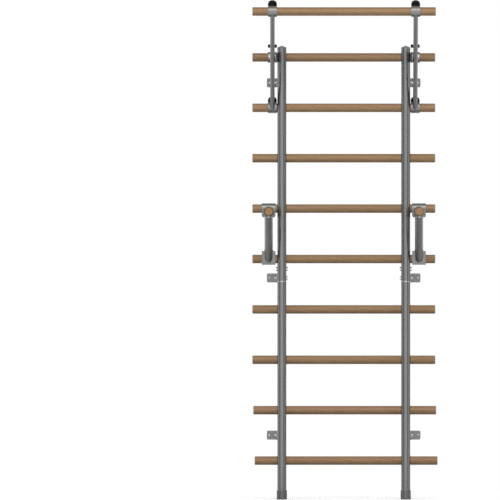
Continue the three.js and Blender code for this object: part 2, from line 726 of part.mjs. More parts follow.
Object.entries(SIDES).forEach(([hand, side]) => {
  const upright = new THREE.Group();
  upright.position.set((side * UPRIGHT_SPACING) / 2, rungY, 0);
  wallBars.add(upright);
  const lower = uprightLength(FOOT_BASE + GAP, jointHeight - SLEEVE_RIM / 2 - GAP);
  const upper = uprightLength(jointHeight + SLEEVE_RIM / 2 + GAP, capBottom - GAP);
  add(upright, `upright_${hand}_lower`, handed(lower, side), COATED_STEEL);
  add(upright, `upright_${hand}_upper`, handed(upper, side), COATED_STEEL);
  add(upright, `joint_sleeve_${hand}`, jointSleeve(), ZINC);
  add(upright, `top_cap_${hand}`, topCap(), GREY_PLASTIC);
  add(upright, `foot_cap_${hand}`, footCap(), GREY_PLASTIC);
  const rungScrew = domedScrew(GAP + UPRIGHT_DEPTH / 2 - rungRadius + SCREW_BITE);
  const rungScrewPlace = [0, UPRIGHT_DEPTH / 2 + GAP, rungHeight(1)];
  add(upright, `rung_screw_${hand}`, rungScrew, ZINC, rungScrewPlace, [Math.PI / 2, 0, 0]);

  // Bolts run inwards from the outer side of the uprights.
  const inwards = [0, (-side * Math.PI) / 2, 0];
  Object.entries(bracketHeights).forEach(([level, height]) => {
    const place = [side * (outerFace + GAP), 0, height];
    add(wallBars, `wall_bracket_${hand}_${level}`, handed(wallBracket(), side), COATED_STEEL, place);
  });
  ["lower", "upper"].forEach((level) => {
    const seat = bracketFace + GAP;
    const bolt = lowBolt(seat - outerFace + UPRIGHT_WALL + BRACKET_BOLT_END);
    const place = [side * seat, rungY, bracketHeights[level]];
    add(wallBars, `bracket_bolt_${hand}_${level}`, bolt, ZINC, place, inwards);
  });
  Object.entries(jointBoltHeights).forEach(([level, height]) => {
    const throughBracket = height === bracketHeights.middle;
    const seat = (throughBracket ? bracketFace : outerFace) + GAP;
    const nutSeat = innerFace - GAP;
    const shankLength = seat - nutSeat + NUT_HEIGHT + BOLT_END;
    const bolt = throughBracket ? lowBolt(shankLength) : hexBolt(shankLength);
    add(wallBars, `joint_bolt_${hand}_${level}`, bolt, ZINC, [side * seat, rungY, height], inwards);
    add(wallBars, `joint_nut_${hand}_${level}`, hexNut(), ZINC, [side * nutSeat, rungY, height], inwards);
  });

  const knobTurn = [-Math.PI / 2, 0, 0];
  add(arms, `pull_up_arm_${hand}`, pullUpArm(), COATED_STEEL, [side * armX, 0, 0]);
  add(arms, `arm_knob_${hand}`, clampKnob(), BLACK_PLASTIC, [side * armX, 0, 0], knobTurn);
  add(arms, `bar_knob_${hand}`, clampKnob(), BLACK_PLASTIC, [side * armX, 0, ARM_LENGTH], knobTurn);

  const strutHeight = rungHeight(ARM_RUNG + 1);
  const strutPlace = [side * armX, rungY, strutHeight];
  add(wallBars, `pull_up_strut_${hand}`, handed(pullUpStrut(), side), COATED_STEEL, strutPlace);
  add(wallBars, `strut_knob_${hand}`, clampKnob(), BLACK_PLASTIC, strutPlace);
  const boltSeat = armX + strutFace;
  const nutSeat = armX - strutFace - STRUT_THICKNESS - GAP;
  const strutBolt = hexBolt(boltSeat - nutSeat + NUT_HEIGHT + STRUT_BOLT_END);
  const boltPlace = (x) => [side * x, rungY - STRUT_LENGTH, strutHeight + STRUT_BOLT_RISE];
  add(wallBars, `strut_bolt_${hand}`, strutBolt, ZINC, boltPlace(boltSeat), inwards);
  add(wallBars, `strut_nut_${hand}`, hexNut(), ZINC, boltPlace(nutSeat), inwards);

  const dipBar = new THREE.Group();
  dipBar.position.set(side * dipX, rungY, rungHeight(DIP_RUNG));
  wallBars.add(dipBar);
  add(dipBar, `dip_frame_${hand}`, dipFrame(), COATED_STEEL);
  add(dipBar, `dip_grip_${hand}`, dipGrip(), BEECH);
  const gripScrew = domedScrew(2 * GAP + GRIP_TUBE_WALL + SCREW_BITE);
  const gripScrewPlace = [0, -gripScrewAhead, -GRIP_DROP - gripTubeRadius - GAP];
  add(dipBar, `dip_screw_${hand}`, gripScrew, ZINC, gripScrewPlace);
});

export default wallBars;
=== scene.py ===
# %% [markdown]
# # Wall bars with a pull-up bar and two dip bars
# Two steel uprights stand against a wall and carry nine beech rungs. A pull-up bar leans out at the top on
# two arms, and two dip bars hook over the sixth rung. The CAD model is loaded first as a fixed frame, and
# every piece made below takes its place from it, so nothing has to be fitted by eye. Lengths are in
# millimetres until a mesh is made.

# %% Load the packed model
import math
from typing import NamedTuple

import bmesh
import bpy
import numpy as np
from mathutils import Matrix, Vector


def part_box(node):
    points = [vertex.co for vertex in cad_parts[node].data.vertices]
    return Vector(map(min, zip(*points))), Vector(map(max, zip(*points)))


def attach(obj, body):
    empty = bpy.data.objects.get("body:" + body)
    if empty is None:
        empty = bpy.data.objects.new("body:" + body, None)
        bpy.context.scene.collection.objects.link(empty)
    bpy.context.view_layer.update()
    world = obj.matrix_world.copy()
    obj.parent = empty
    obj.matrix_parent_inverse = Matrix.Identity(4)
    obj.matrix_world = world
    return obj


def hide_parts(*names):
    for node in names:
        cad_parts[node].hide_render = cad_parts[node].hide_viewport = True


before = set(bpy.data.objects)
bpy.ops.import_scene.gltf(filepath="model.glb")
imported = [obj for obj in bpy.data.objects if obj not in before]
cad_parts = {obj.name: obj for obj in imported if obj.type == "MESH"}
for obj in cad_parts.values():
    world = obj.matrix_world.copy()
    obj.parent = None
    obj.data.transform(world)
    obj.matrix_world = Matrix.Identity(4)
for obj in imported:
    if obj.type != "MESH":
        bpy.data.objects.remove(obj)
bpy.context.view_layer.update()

MM = 0.001
SIDES = (("left", -1), ("right", 1))


class Box(NamedTuple):
    """A box in millimetres: its lowest and highest corners, its middle and its size."""
    low: np.ndarray
    high: np.ndarray
    middle: np.ndarray
    size: np.ndarray


def node_box(node):
    """The box of a CAD node."""
    low, high = (np.array(corner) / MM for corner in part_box(node))
    return Box(low, high, (low + high) / 2, high - low)


# %% [markdown]
# ## Camera
# The photograph is a straight-on drawing without perspective, at 4.42 mm to a pixel. A very long lens from
# far away gives nearly the same flat picture, and unlike an orthographic camera it still frames the object
# by itself when a viewer walks round it.

# %% Camera at the photograph's viewing angle
PHOTO_SIDE = 500
PHOTO_SCALE = 4.42 * MM
OBJECT_COLUMN = 343.9
FLOOR_ROW = 499.73
LENS = 1650.0
SENSOR = 36.0
FOCUS_Y = -0.26
scene = bpy.context.scene
camera_distance = PHOTO_SIDE * PHOTO_SCALE * LENS / SENSOR
camera_data = bpy.data.cameras.new("camera")
camera_data.lens = LENS
camera_data.sensor_width = SENSOR
camera_data.clip_end = 3 * camera_distance
camera = bpy.data.objects.new("camera", camera_data)
camera.location = (
    -(OBJECT_COLUMN - PHOTO_SIDE / 2) * PHOTO_SCALE,
    FOCUS_Y - camera_distance,
    (FLOOR_ROW - PHOTO_SIDE / 2) * PHOTO_SCALE,
)
camera.rotation_euler = (math.radians(90), 0, 0)
scene.collection.objects.link(camera)
scene.camera = camera
scene.view_settings.view_transform = "Standard"
print("camera at", [round(value, 3) for value in camera.location])

# %% [markdown]
# ## Nodes
# Materials and the world are trees of nodes. Laying them out by hand repeats the same three steps, which
# are adding a node, setting its values and linking its inputs, so a small helper does all three at once.

# %% A helper that lays out nodes
class Bench:
    """Adds nodes to one tree; an input is a plain value, or another node's output to link from."""

    def __init__(self, tree):
        self.tree = tree
        self.tree.nodes.clear()

    def add(self, kind, inputs=None, **settings):
        node = self.tree.nodes.new(kind)
        for key, value in settings.items():
            setattr(node, key, value)
        for key, value in (inputs or {}).items():
            if isinstance(value, bpy.types.NodeSocket):
                self.tree.links.new(value, node.inputs[key])
            else:
                node.inputs[key].default_value = value
        return node

    def math(self, operation, *values, clamp=False):
        inputs = dict(enumerate(values))
        return self.add("ShaderNodeMath", inputs, operation=operation, use_clamp=clamp).outputs[0]

    def plus(self, start, *shares):
        """The start plus each value times its share."""
        for value, share in shares:
            start = self.math("MULTIPLY_ADD", value, share, start)
        return start

    def spread(self, value, low, high, to_low=0.0, to_high=1.0):
        """Maps low..high onto to_low..to_high with a soft start and end."""
        inputs = {"Value": value, "From Min": low, "From Max": high, "To Min": to_low, "To Max": to_high}
        return self.add("ShaderNodeMapRange", inputs, interpolation_type="SMOOTHSTEP").outputs[0]

    def grey(self, level):
        return self.add("ShaderNodeCombineColor", {0: level, 1: level, 2: level}).outputs[0]

    def mix(self, factor, first, second, blend="MIX"):
        inputs = {0: factor, 6: first, 7: second}
        return self.add("ShaderNodeMix", inputs, data_type="RGBA", blend_type=blend).outputs[2]

    def noise(self, vector, scale, detail=2.0, rough=0.5, stretch=None):
        if stretch:
            vector = self.add("ShaderNodeMapping", {"Vector": vector, "Scale": stretch}).outputs[0]
        inputs = {"Vector": vector, "Scale": scale, "Detail": detail, "Roughness": rough}
        return self.add("ShaderNodeTexNoise", inputs).outputs[0]


def even(level):
    """A grey of one level, as a colour."""
    return (level, level, level, 1)


print("node helper ready:", [name for name in vars(Bench) if not name.startswith("_")])

# %% [markdown]
# ## Studio light
# The object stands in a white room. The background is plain white to the camera. Shiny steel, though, needs
# something to mirror, so reflected rays see a painted room: white walls in front, behind and at both sides
# with dark corners between them, a ceiling that is brighter towards the front, and a pale ground. The
# corners draw the dark lines that a round steel edge shows. A photograph of a studio could do the same, but
# a few nodes need no file. Four soft lamps light the matt surfaces and cast the shadow, and mirrors don't
# see them.

# %% World: white to the camera, a room to reflected rays
WALL_LEVEL = 1.05
CORNER_LEVEL = 0.02
FRONT_LEVEL = 1.85
BACK_LEVEL = 0.5
GROUND_LEVEL = 1.0
AMBIENT_LEVEL = 0.16
END_WALL = (0.56, 0.92)
SIDE_WALL = (0.2, 0.46)
CEILING = (0.6, 0.9)
GROUND = (-0.38, -0.1)
FRONT_TO_BACK = (-0.6, -0.1)
UPPER_HALF = (0.08, 0.5)
world = bpy.data.worlds.new("white room")
world.use_nodes = True
world.cycles.sampling_method = "NONE"
scene.world = world
bench = Bench(world.node_tree)
ray = bench.add("ShaderNodeTexCoord").outputs["Generated"]
across, ahead, upward = bench.add("ShaderNodeSeparateXYZ", {0: ray}).outputs
depth = bench.math("ABSOLUTE", bench.math("SINE", bench.math("ARCTAN2", ahead, across)))
walls = bench.math("MAXIMUM", bench.spread(depth, *END_WALL, CORNER_LEVEL, WALL_LEVEL),
                   bench.spread(depth, *SIDE_WALL, WALL_LEVEL, CORNER_LEVEL))
walls = bench.math("MAXIMUM", walls, bench.spread(upward, *CEILING, 0.0, WALL_LEVEL))
walls = bench.math("MAXIMUM", walls, bench.spread(upward, *GROUND, GROUND_LEVEL, 0.0))
above = bench.math("SUBTRACT", bench.spread(ahead, *FRONT_TO_BACK, FRONT_LEVEL, BACK_LEVEL), 1.0)
lift = bench.plus(1.0, (bench.spread(upward, *UPPER_HALF), above))
room = bench.grey(bench.math("MULTIPLY", walls, lift))
path = bench.add("ShaderNodeLightPath").outputs
mirrored = bench.math("MAXIMUM", path["Is Glossy Ray"], path["Is Transmission Ray"])
plain = bench.mix(path["Is Camera Ray"], even(AMBIENT_LEVEL), even(1))
sky = bench.add("ShaderNodeBackground", {"Color": bench.mix(mirrored, plain, room)})
bench.add("ShaderNodeOutputWorld", {"Surface": sky.outputs[0]})
print("world levels: walls", WALL_LEVEL, "above", (FRONT_LEVEL, BACK_LEVEL), "ambient", AMBIENT_LEVEL)

# %% Four soft square lamps that face the middle of the object
LAMP_SIDE = 4.0
LAMP_AIM = np.array([0.0, -0.2, 1.1])
LAMPS = {
    "lamp front": ((0.0, -5.4, 4.2), 290),
    "lamp back": ((0.0, 5.8, 2.6), 215),
    "lamp left": ((-6.0, -0.5, 1.5), 200),
    "lamp right": ((6.0, -0.5, 1.5), 200),
}
for name, (place, power) in LAMPS.items():
    data = bpy.data.lights.new(name, "AREA")
    data.size = LAMP_SIDE
    data.energy = power
    lamp = bpy.data.objects.new(name, data)
    lamp.visible_glossy = False
    lamp.location = place
    aim = LAMP_AIM - np.array(place)
    tilt = math.atan2(math.hypot(aim[0], aim[1]), -aim[2])
    lamp.rotation_euler = (tilt, 0, math.atan2(-aim[0], aim[1]))
    scene.collection.objects.link(lamp)
print("lamps:", list(LAMPS))

# %% [markdown]
# ## From grids of points to meshes
# Every piece is one or more grids of points, worked out as whole arrays. A grid may be closed on itself in
# either direction, like a tube or a ring. Points that fall on each other are merged, which closes seams and
# poles, the faces are turned outwards, and thin sheets get their thickness from a Solidify modifier
# afterwards.

# %% Surfaces and their faces
class Surface(NamedTuple):
    """A grid of points (rows, columns, xyz), closed on itself where asked, with the finish that it takes."""
    points: np.ndarray
    closed_rows: bool = False
    closed_columns: bool = False
    finish: int = 0

    def laid(self, origin, axes=np.eye(3)):
        """The same surface laid from an origin along three directions, the rows of axes."""
        return self._replace(points=self.points @ axes + np.asarray(origin, float))


def grid(*values):
    """A grid of points from one array for each coordinate, repeated where it lacks rows or columns."""
    return np.stack(np.broadcast_arrays(*values), axis=-1)


def grid_faces(surface):
    """Quads between neighbouring rows and columns, going round where the grid is closed."""
    rows, columns = surface.points.shape[:2]
    index = np.arange(rows * columns).reshape(rows, columns)
    if surface.closed_rows:
        index = np.concatenate([index, index[:1]])
    if surface.closed_columns:
        index = np.concatenate([index, index[:, :1]], axis=1)
    corners = (index[:-1, :-1], index[:-1, 1:], index[1:, 1:], index[1:, :-1])
    return np.stack(corners, axis=-1).reshape(-1, 4)


sample = Surface(np.zeros((3, 4, 3)), True, True)
print("a closed grid of 3 by 4 points has", len(grid_faces(sample)), "faces")

# %% Meshes and pieces
SAME_POINT = 0.002 * MM
SHARP_ANGLE = math.radians(32)
BEVEL_ANGLE = math.radians(40)
INSIDE = -1.0
pieces_made = []


class Wall(NamedTuple):
    """A sheet's thickness, the side of the skin that it lies on, its rounded edge, and which of the piece's
    finishes its cut edge takes."""
    thick: float
    side: float = 0.0
    edge: float = 0.0
    rim: int = 0


def make_mesh(name, surfaces, materials):
    """One mesh of all the surfaces: doubles merged, faces outwards, smooth but for its sharp edges."""
    points = np.concatenate([item.points.reshape(-1, 3) for item in surfaces]) * MM
    starts = np.cumsum([0] + [item.points[..., 0].size for item in surfaces])
    faces = [grid_faces(item) + start for item, start in zip(surfaces, starts)]
    finish = np.concatenate([np.full(len(quads), item.finish) for quads, item in zip(faces, surfaces)])
    mesh = bpy.data.meshes.new(name)
    mesh.from_pydata(points.tolist(), [], np.concatenate(faces).tolist())
    mesh.polygons.foreach_set("material_index", finish.astype(np.int32))
    shell = bmesh.new()
    shell.from_mesh(mesh)
    bmesh.ops.remove_doubles(shell, verts=shell.verts, dist=SAME_POINT)
    bmesh.ops.recalc_face_normals(shell, faces=shell.faces)
    shell.to_mesh(mesh)
    shell.free()
    mesh.shade_smooth()
    mesh.set_sharp_from_angle(angle=SHARP_ANGLE)
    for material in materials:
        mesh.materials.append(material)
    return mesh


def make_piece(node, surfaces, finishes, body="ladder", part="", wall=None, replaces=True):
    """An object for a CAD node, or for one part of it, that rides on the node's body; a skin gets its wall
    and rounded edges here."""
    name = node + part
    piece = bpy.data.objects.new(name, make_mesh(name, surfaces, [finish.material for finish in finishes]))
    scene.collection.objects.link(piece)
    if wall:
        sheet = piece.modifiers.new("wall", "SOLIDIFY")
        sheet.thickness = wall.thick * MM
        sheet.offset = wall.side
        sheet.use_even_offset = True
        sheet.material_offset_rim = wall.rim
    if wall and wall.edge:
        soft = piece.modifiers.new("soft edges", "BEVEL")
        soft.width = wall.edge * MM
        soft.segments = 2
        soft.limit_method = "ANGLE"
        soft.angle_limit = BEVEL_ANGLE
    level = piece.modifiers.new("flat faces stay flat", "WEIGHTED_NORMAL")
    level.keep_sharp = True
    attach(piece, body)
    if replaces:
        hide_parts(node)
    pieces_made.append(name)


print("sharp edges from", round(math.degrees(SHARP_ANGLE)), "degrees")

# %% [markdown]
# Most pieces here are turned or swept. `turned` spins a profile round an axis, as a lathe does, and
# `soft_corners` rounds the corners of a profile beforehand, because no real edge is perfectly sharp. A
# surface is then laid along any direction by three axes.

# %% Turning and rounding
ALONG_X = np.array([[0, 1, 0], [0, 0, 1], [1, 0, 0]])
ALONG_FRONT = np.array([[1, 0, 0], [0, 0, 1], [0, -1, 0]])
ROUND_COLUMNS = 64


def soft_corners(corners, reaches, steps=5):
    """Rounds each corner c of a profile by the curve (1-t)^2 a + 2t(1-t) c + t^2 b, where a and b lie at the
    given reach from c on the lines to its neighbours."""
    corner = np.asarray(corners, float)
    reach = np.asarray(reaches, float)[:, None]
    back = np.roll(corner, 1, axis=0) - corner
    ahead = np.roll(corner, -1, axis=0) - corner
    start = corner + reach * back / np.linalg.norm(back, axis=1, keepdims=True)
    end = corner + reach * ahead / np.linalg.norm(ahead, axis=1, keepdims=True)
    t = np.linspace(0, 1, steps)[None, :, None]
    curve = (1 - t) ** 2 * start[:, None] + 2 * t * (1 - t) * corner[:, None] + t ** 2 * end[:, None]
    return curve.reshape(-1, 2)


def round_turn(columns):
    """Evenly spaced angles round one turn."""
    return np.linspace(0, 2 * math.pi, columns, endpoint=False)


def turned(profile, columns=ROUND_COLUMNS):
    """Turns a profile of (radius, height) round z: x = r cos u, y = r sin u, z = height. Both may change
    round the turn."""
    radius, height = profile
    angle = round_turn(columns)
    return grid(radius * np.cos(angle), radius * np.sin(angle), height)


def rod(radius, length, edge, columns=ROUND_COLUMNS):
    """A solid round bar from 0 to length along z, with rounded end edges."""
    profile = soft_corners([(0, 0), (radius, 0), (radius, length), (0, length)], [0, edge, edge, 0])
    return Surface(turned(profile.T[:, :, None], columns), False, True)


def ring(bore, radius, length, edge):
    """A tube end to end along z, centred on 0, with rounded edges; its profile is a closed loop."""
    half = length / 2
    profile = soft_corners([(bore, -half), (radius, -half), (radius, half), (bore, half)], [edge] * 4)
    return Surface(turned(profile.T[:, :, None]), True, True)


print("a rod has", rod(1, 10, 0.2).points.shape[0], "rows of", ROUND_COLUMNS)

# %% [markdown]
# ## Shared effects
# Each finish below is a shader material, but some effects return in several of them: the fine grain of a
# sprayed or moulded skin, the faint marks of hands, and the figure of the wood. Each is a node group, built
# once, that gives out masks and values, and each material sets its own strength.

# %% Helpers for node groups
def make_group(name, build, inputs, outputs):
    """A node group with a Vector input, value inputs and outputs; build says what each output gives."""
    group = bpy.data.node_groups.new(name, "ShaderNodeTree")
    group.interface.new_socket("Vector", in_out="INPUT", socket_type="NodeSocketVector")
    for label, value in inputs.items():
        socket = group.interface.new_socket(label, in_out="INPUT", socket_type="NodeSocketFloat")
        socket.default_value = value
    for label, kind in outputs.items():
        group.interface.new_socket(label, in_out="OUTPUT", socket_type="NodeSocket" + kind)
    desk = Bench(group)
    desk.add("NodeGroupOutput", build(desk, desk.add("NodeGroupInput").outputs))
    print("group", name, "gives", list(outputs))


def spaced(values):
    """Socket names from keywords: underscores stand for spaces."""
    return {key.replace("_", " "): value for key, value in values.items()}


def place_group(desk, name, vector, **values):
    """Places a group in a material and gives its outputs."""
    inputs = {"Vector": vector, **spaced(values)}
    return desk.add("ShaderNodeGroup", inputs, node_tree=bpy.data.node_groups[name]).outputs


print("group helpers ready")

# %% Group: fine skin grain
FINE_IN_HEIGHT = 0.25


def skin_grain(desk, given):
    """Speckle = fine noise about 1; Height = coarser noise plus a share of the fine noise."""
    fine = desk.noise(given["Vector"], given["Speckle Scale"], detail=1.0)
    peel = desk.noise(given["Vector"], given["Peel Scale"])
    return {
        "Speckle": desk.plus(1.0, (desk.math("SUBTRACT", fine, 0.5), given["Speckle Amount"])),
        "Height": desk.plus(peel, (fine, FINE_IN_HEIGHT)),
    }


make_group("skin grain", skin_grain, {"Speckle Scale": 2600.0, "Peel Scale": 420.0, "Speckle Amount": 0.1},
           {"Speckle": "Float", "Height": "Float"})

# %% Group: marks of hands and time
SMUDGE_PATCH = (0.48, 0.72)
SMUDGE_GRAIN = (0.35, 0.7)
GRAIN_TO_PATCH = 7.0
CLOUD_TO_PATCH = 0.45
SCRATCH_SCALE = 60.0
SCRATCH_STRETCH = (1.0, 1.0, 22.0)
SCRATCH_LINE = (0.66, 0.7)
SCRATCH_PATCH = (0.5, 0.62)


def handled(desk, given):
    """Smudge = broad noise times finer noise, both above a threshold; Cloud = slow drift about 0;
    Scratch = thin strokes inside the broad patches."""
    vector, scale = given["Vector"], given["Scale"]
    broad = desk.noise(vector, scale)
    fine = desk.noise(vector, desk.math("MULTIPLY", scale, GRAIN_TO_PATCH), detail=4.0, rough=0.6)
    cloud = desk.noise(vector, desk.math("MULTIPLY", scale, CLOUD_TO_PATCH), detail=3.0)
    strokes = desk.noise(vector, SCRATCH_SCALE, stretch=SCRATCH_STRETCH)
    smudge = desk.math("MULTIPLY", desk.spread(broad, *SMUDGE_PATCH), desk.spread(fine, *SMUDGE_GRAIN))
    scratch = desk.math("MULTIPLY", desk.spread(strokes, *SCRATCH_LINE), desk.spread(broad, *SCRATCH_PATCH))
    return {
        "Smudge": desk.math("MULTIPLY", smudge, given["Amount"]),
        "Cloud": desk.math("SUBTRACT", cloud, 0.5),
        "Scratch": desk.math("MULTIPLY", scratch, given["Amount"]),
    }


make_group("handled", handled, {"Scale": 9.0, "Amount": 1.0},
           {"Smudge": "Float", "Cloud": "Float", "Scratch": "Float"})

# %% [markdown]
# Beech is pale brown and even. Close to, it shows long faint streaks along the grain, slow colour bands
# where the growth rings are cut, and many tiny dark dashes. All of them are noise squeezed across the
# grain, so the group expects coordinates whose X runs along the grain. Because it is a solid pattern in
# space, the end faces show the rings by themselves.

# %% Group: beech
SIDE_DARK = (0.235, 0.139, 0.069, 1)
SIDE_PALE = (0.335, 0.208, 0.111, 1)
DASH_COLOUR = (0.17, 0.095, 0.052, 1)
END_PALE = (0.38, 0.215, 0.095, 1)
END_DARK = (0.31, 0.168, 0.07, 1)
PORE_COLOUR = (0.12, 0.065, 0.035, 1)
STREAK_SHARE, FIBRE_SHARE, RING_SHARE = 0.75, 0.35, 0.12
DASH_SHARE, PORE_SHARE = 0.4, 0.35
TONE_RANGE = (0.3, 0.9)
DASH_RANGE = (0.66, 0.74)
PORE_RANGE = (0.55, 0.75)
FIBRE_TO_ROUGHNESS = (0.2, 0.8, 0.36, 0.5)


def beech(desk, given):
    """Color from streaks, fibres, rings and dashes; End mixes towards the warmer end grain with its pores."""
    vector = given["Vector"]
    streak = desk.noise(vector, 9.0, detail=4.0, stretch=(0.2, 9.0, 9.0))
    fibre = desk.noise(vector, 90.0, detail=3.0, rough=0.6, stretch=(0.25, 9.0, 9.0))
    dash = desk.spread(desk.noise(vector, 330.0, detail=0.0, stretch=(0.22, 2.2, 2.2)), *DASH_RANGE)
    pores = desk.spread(desk.noise(vector, 1500.0, detail=1.0), *PORE_RANGE)
    bands = desk.add("ShaderNodeMapping", {"Vector": vector, "Scale": (0.12, 1.0, 0.7)}).outputs[0]
    wave = {"Vector": bands, "Scale": 46.0, "Distortion": 5.0, "Detail": 2.0, "Detail Scale": 1.3}
    rings = desk.add("ShaderNodeTexWave", wave, bands_direction="DIAGONAL").outputs["Fac"]
    tone = desk.plus(0.0, (streak, STREAK_SHARE), (fibre, FIBRE_SHARE), (rings, RING_SHARE))
    side = desk.mix(desk.spread(tone, *TONE_RANGE), SIDE_DARK, SIDE_PALE)
    side = desk.mix(desk.math("MULTIPLY", dash, DASH_SHARE), side, DASH_COLOUR)
    end = desk.mix(rings, END_PALE, END_DARK)
    end = desk.mix(desk.math("MULTIPLY", pores, PORE_SHARE), end, PORE_COLOUR)
    return {
        "Color": desk.mix(given["End"], side, end),
        "Roughness": desk.spread(fibre, *FIBRE_TO_ROUGHNESS),
        "Height": desk.math("SUBTRACT", fibre, dash),
    }


make_group("beech", beech, {"End": 0.0}, {"Color": "Color", "Roughness": "Float", "Height": "Float"})

# %% [markdown]
# ## Finishes
# Silver powder coat covers the steel, bright zinc the bolts and screws, and lacquer the beech. The caps are
# grey plastic and the knobs black plastic, and the nuts and thread ends of the strut bolts are dark zinc that
# carries painted shade. Each finish reads Object coordinates, which are metres on every piece, so a speckle
# is the same size everywhere.

# %% Helpers that close a material with one shader
class Finish(NamedTuple):
    """A material, and the part's slot that it belongs to."""
    material: bpy.types.Material
    slot: str


def make_finish(name, slot, build, **constants):
    """A finish with one Principled BSDF: constants go on its own sockets, build links what varies."""
    material = bpy.data.materials.new(name)
    material.use_nodes = True
    desk = Bench(material.node_tree)
    place = desk.add("ShaderNodeTexCoord").outputs
    shader = desk.add("ShaderNodeBsdfPrincipled", {**spaced(constants), **build(desk, place)})
    desk.add("ShaderNodeOutputMaterial", {"Surface": shader.outputs[0]})
    print("finish:", name)
    return Finish(material, slot)


def tinted(desk, tone, colour):
    """A colour made lighter or darker by a tone about 1."""
    return desk.mix(1.0, desk.grey(tone), colour, "MULTIPLY")


def bumped(desk, height, strength, depth):
    """A Bump node: height in units of depth millimetres."""
    inputs = {"Height": height, "Strength": strength, "Distance": depth * MM}
    return desk.add("ShaderNodeBump", inputs).outputs[0]


print("finish helpers ready")

# %% [markdown]
# Powder coat is sprayed on dry and baked, which leaves metal flakes in a skin with a faint orange peel. It
# could be plain grey metal, but long tubes then look like a drawing. So slow clouds and smudges move its
# tone by a few per cent.

# %% Silver powder coat
SILVER = even(0.245)
SILVER_ROUGHNESS = 0.21


def silver_coat(desk, place):
    """Tone = speckle times a slow drift, less smudges; roughness follows the smudges and the drift."""
    skin = place_group(desk, "skin grain", place["Object"], Speckle_Amount=0.12)
    hands = place_group(desk, "handled", place["Object"], Scale=7.0, Amount=0.6)
    drift = desk.plus(1.0, (hands["Cloud"], 0.22))
    tone = desk.plus(desk.math("MULTIPLY", skin["Speckle"], drift), (hands["Smudge"], -0.08))
    return {
        "Base Color": tinted(desk, tone, SILVER),
        "Roughness": desk.plus(SILVER_ROUGHNESS, (hands["Smudge"], 0.1), (hands["Cloud"], 0.08)),
        "Normal": bumped(desk, skin["Height"], strength=0.1, depth=0.05),
    }


coated_steel = make_finish("silver powder coat", "coated_steel", silver_coat, Metallic=0.85)

# %% [markdown]
# Zinc plating is brighter than the coat and has a mottled bloom, with scratches where a spanner slipped.
# Bright zinc and dark zinc with painted shade are the same recipe with two pairs of colours, so one
# function builds both.

# %% Bright zinc, and dark zinc with painted shade
PLATED_ROUGHNESS = 0.24


def plated(colour, scratched):
    """Metal with the mottled bloom of plating and a few tool scratches."""
    def build(desk, place):
        skin = place_group(desk, "skin grain", place["Object"], Speckle_Scale=1800.0, Peel_Scale=700.0,
                           Speckle_Amount=0.2)
        hands = place_group(desk, "handled", place["Object"], Scale=60.0, Amount=0.8)
        base = tinted(desk, desk.plus(skin["Speckle"], (hands["Cloud"], 0.4)), colour)
        return {
            "Base Color": desk.mix(desk.math("MULTIPLY", hands["Scratch"], 0.5), base, scratched),
            "Roughness": desk.plus(PLATED_ROUGHNESS, (hands["Smudge"], 0.2)),
            "Normal": bumped(desk, skin["Height"], strength=0.2, depth=0.03),
        }
    return build


zinc = make_finish("bright zinc", "zinc", plated((0.76, 0.77, 0.78, 1), (0.45, 0.45, 0.46, 1)), Metallic=1.0)
# Painted shade: the dark that falls on the strut nuts and thread ends.
zinc_in_painted_shade = make_finish("dark zinc in painted shade", "zinc", plated((0.06, 0.06, 0.063, 1), even(0.16)), Metallic=1.0)

# %% [markdown]
# The rungs are lacquered beech. Their ends show end grain inside a broken edge that carries a painted
# highlight, pale as where light glances off it, while the broken edge of the grips carries painted shade
# and is dark. Both are found from the direction that a face looks in, so no extra faces or pictures are
# needed.

# %% Lacquered beech, with the grain along the rungs or along the dip grips
# Painted highlight: the pale of light glancing off the rungs' broken end edges.
EDGE_PAINTED_HIGHLIGHT = (0.36, 0.29, 0.23, 1)
# Painted shade: the dark of the gap round the grips' broken end edges.
GRIP_EDGE_PAINTED_SHADE = (0.1, 0.065, 0.038, 1)
HAND_DARK = (0.2, 0.12, 0.07, 1)
END_FACING = (0.975, 0.9995)
RIM_FACING = (0.15, 0.4)


def beech_along(end_axis, turn, end_share, rim_share, rim_painted_light):
    """Beech whose grain direction is turned onto X; faces that look along the bar show end grain, and the
    broken edge round them takes its own painted light, a painted highlight or painted shade."""
    def build(desk, place):
        mapping = {"Vector": place["Object"], "Rotation": (0, 0, turn)}
        along = desk.add("ShaderNodeMapping", mapping).outputs[0]
        facing = desk.add("ShaderNodeSeparateXYZ", {0: place["Normal"]}).outputs[end_axis]
        facing = desk.math("ABSOLUTE", facing)
        end = desk.spread(facing, *END_FACING)
        rim = desk.math("SUBTRACT", desk.spread(facing, *RIM_FACING), end, clamp=True)
        wood = place_group(desk, "beech", along, End=desk.math("MULTIPLY", end, end_share))
        hands = place_group(desk, "handled", place["Object"], Scale=6.0, Amount=0.7)
        colour = desk.mix(desk.math("MULTIPLY", hands["Smudge"], 0.18), wood["Color"], HAND_DARK)
        return {
            # The broken edge takes its painted highlight or painted shade here.
            "Base Color": desk.mix(desk.math("MULTIPLY", rim, rim_share), colour, rim_painted_light),
            "Roughness": desk.plus(wood["Roughness"], (hands["Smudge"], -0.08)),
            "Normal": bumped(desk, wood["Height"], strength=0.15, depth=0.06),
        }
    return build


# The rungs' broken end edges carry a painted highlight.
beech_x = make_finish("beech along the rungs", "beech", beech_along("X", 0.0, 1.0, 0.95, EDGE_PAINTED_HIGHLIGHT))
# The grips' broken end edges carry painted shade.
beech_y = make_finish("beech along the grips", "beech",
                      beech_along("Y", math.radians(90), 0.35, 0.75, GRIP_EDGE_PAINTED_SHADE))

# %% [markdown]
# The caps and knobs are moulded. A mould's spark-eroded walls leave a fine grain, which is bump here
# because it is far smaller than any real edge, and hands leave paler marks.

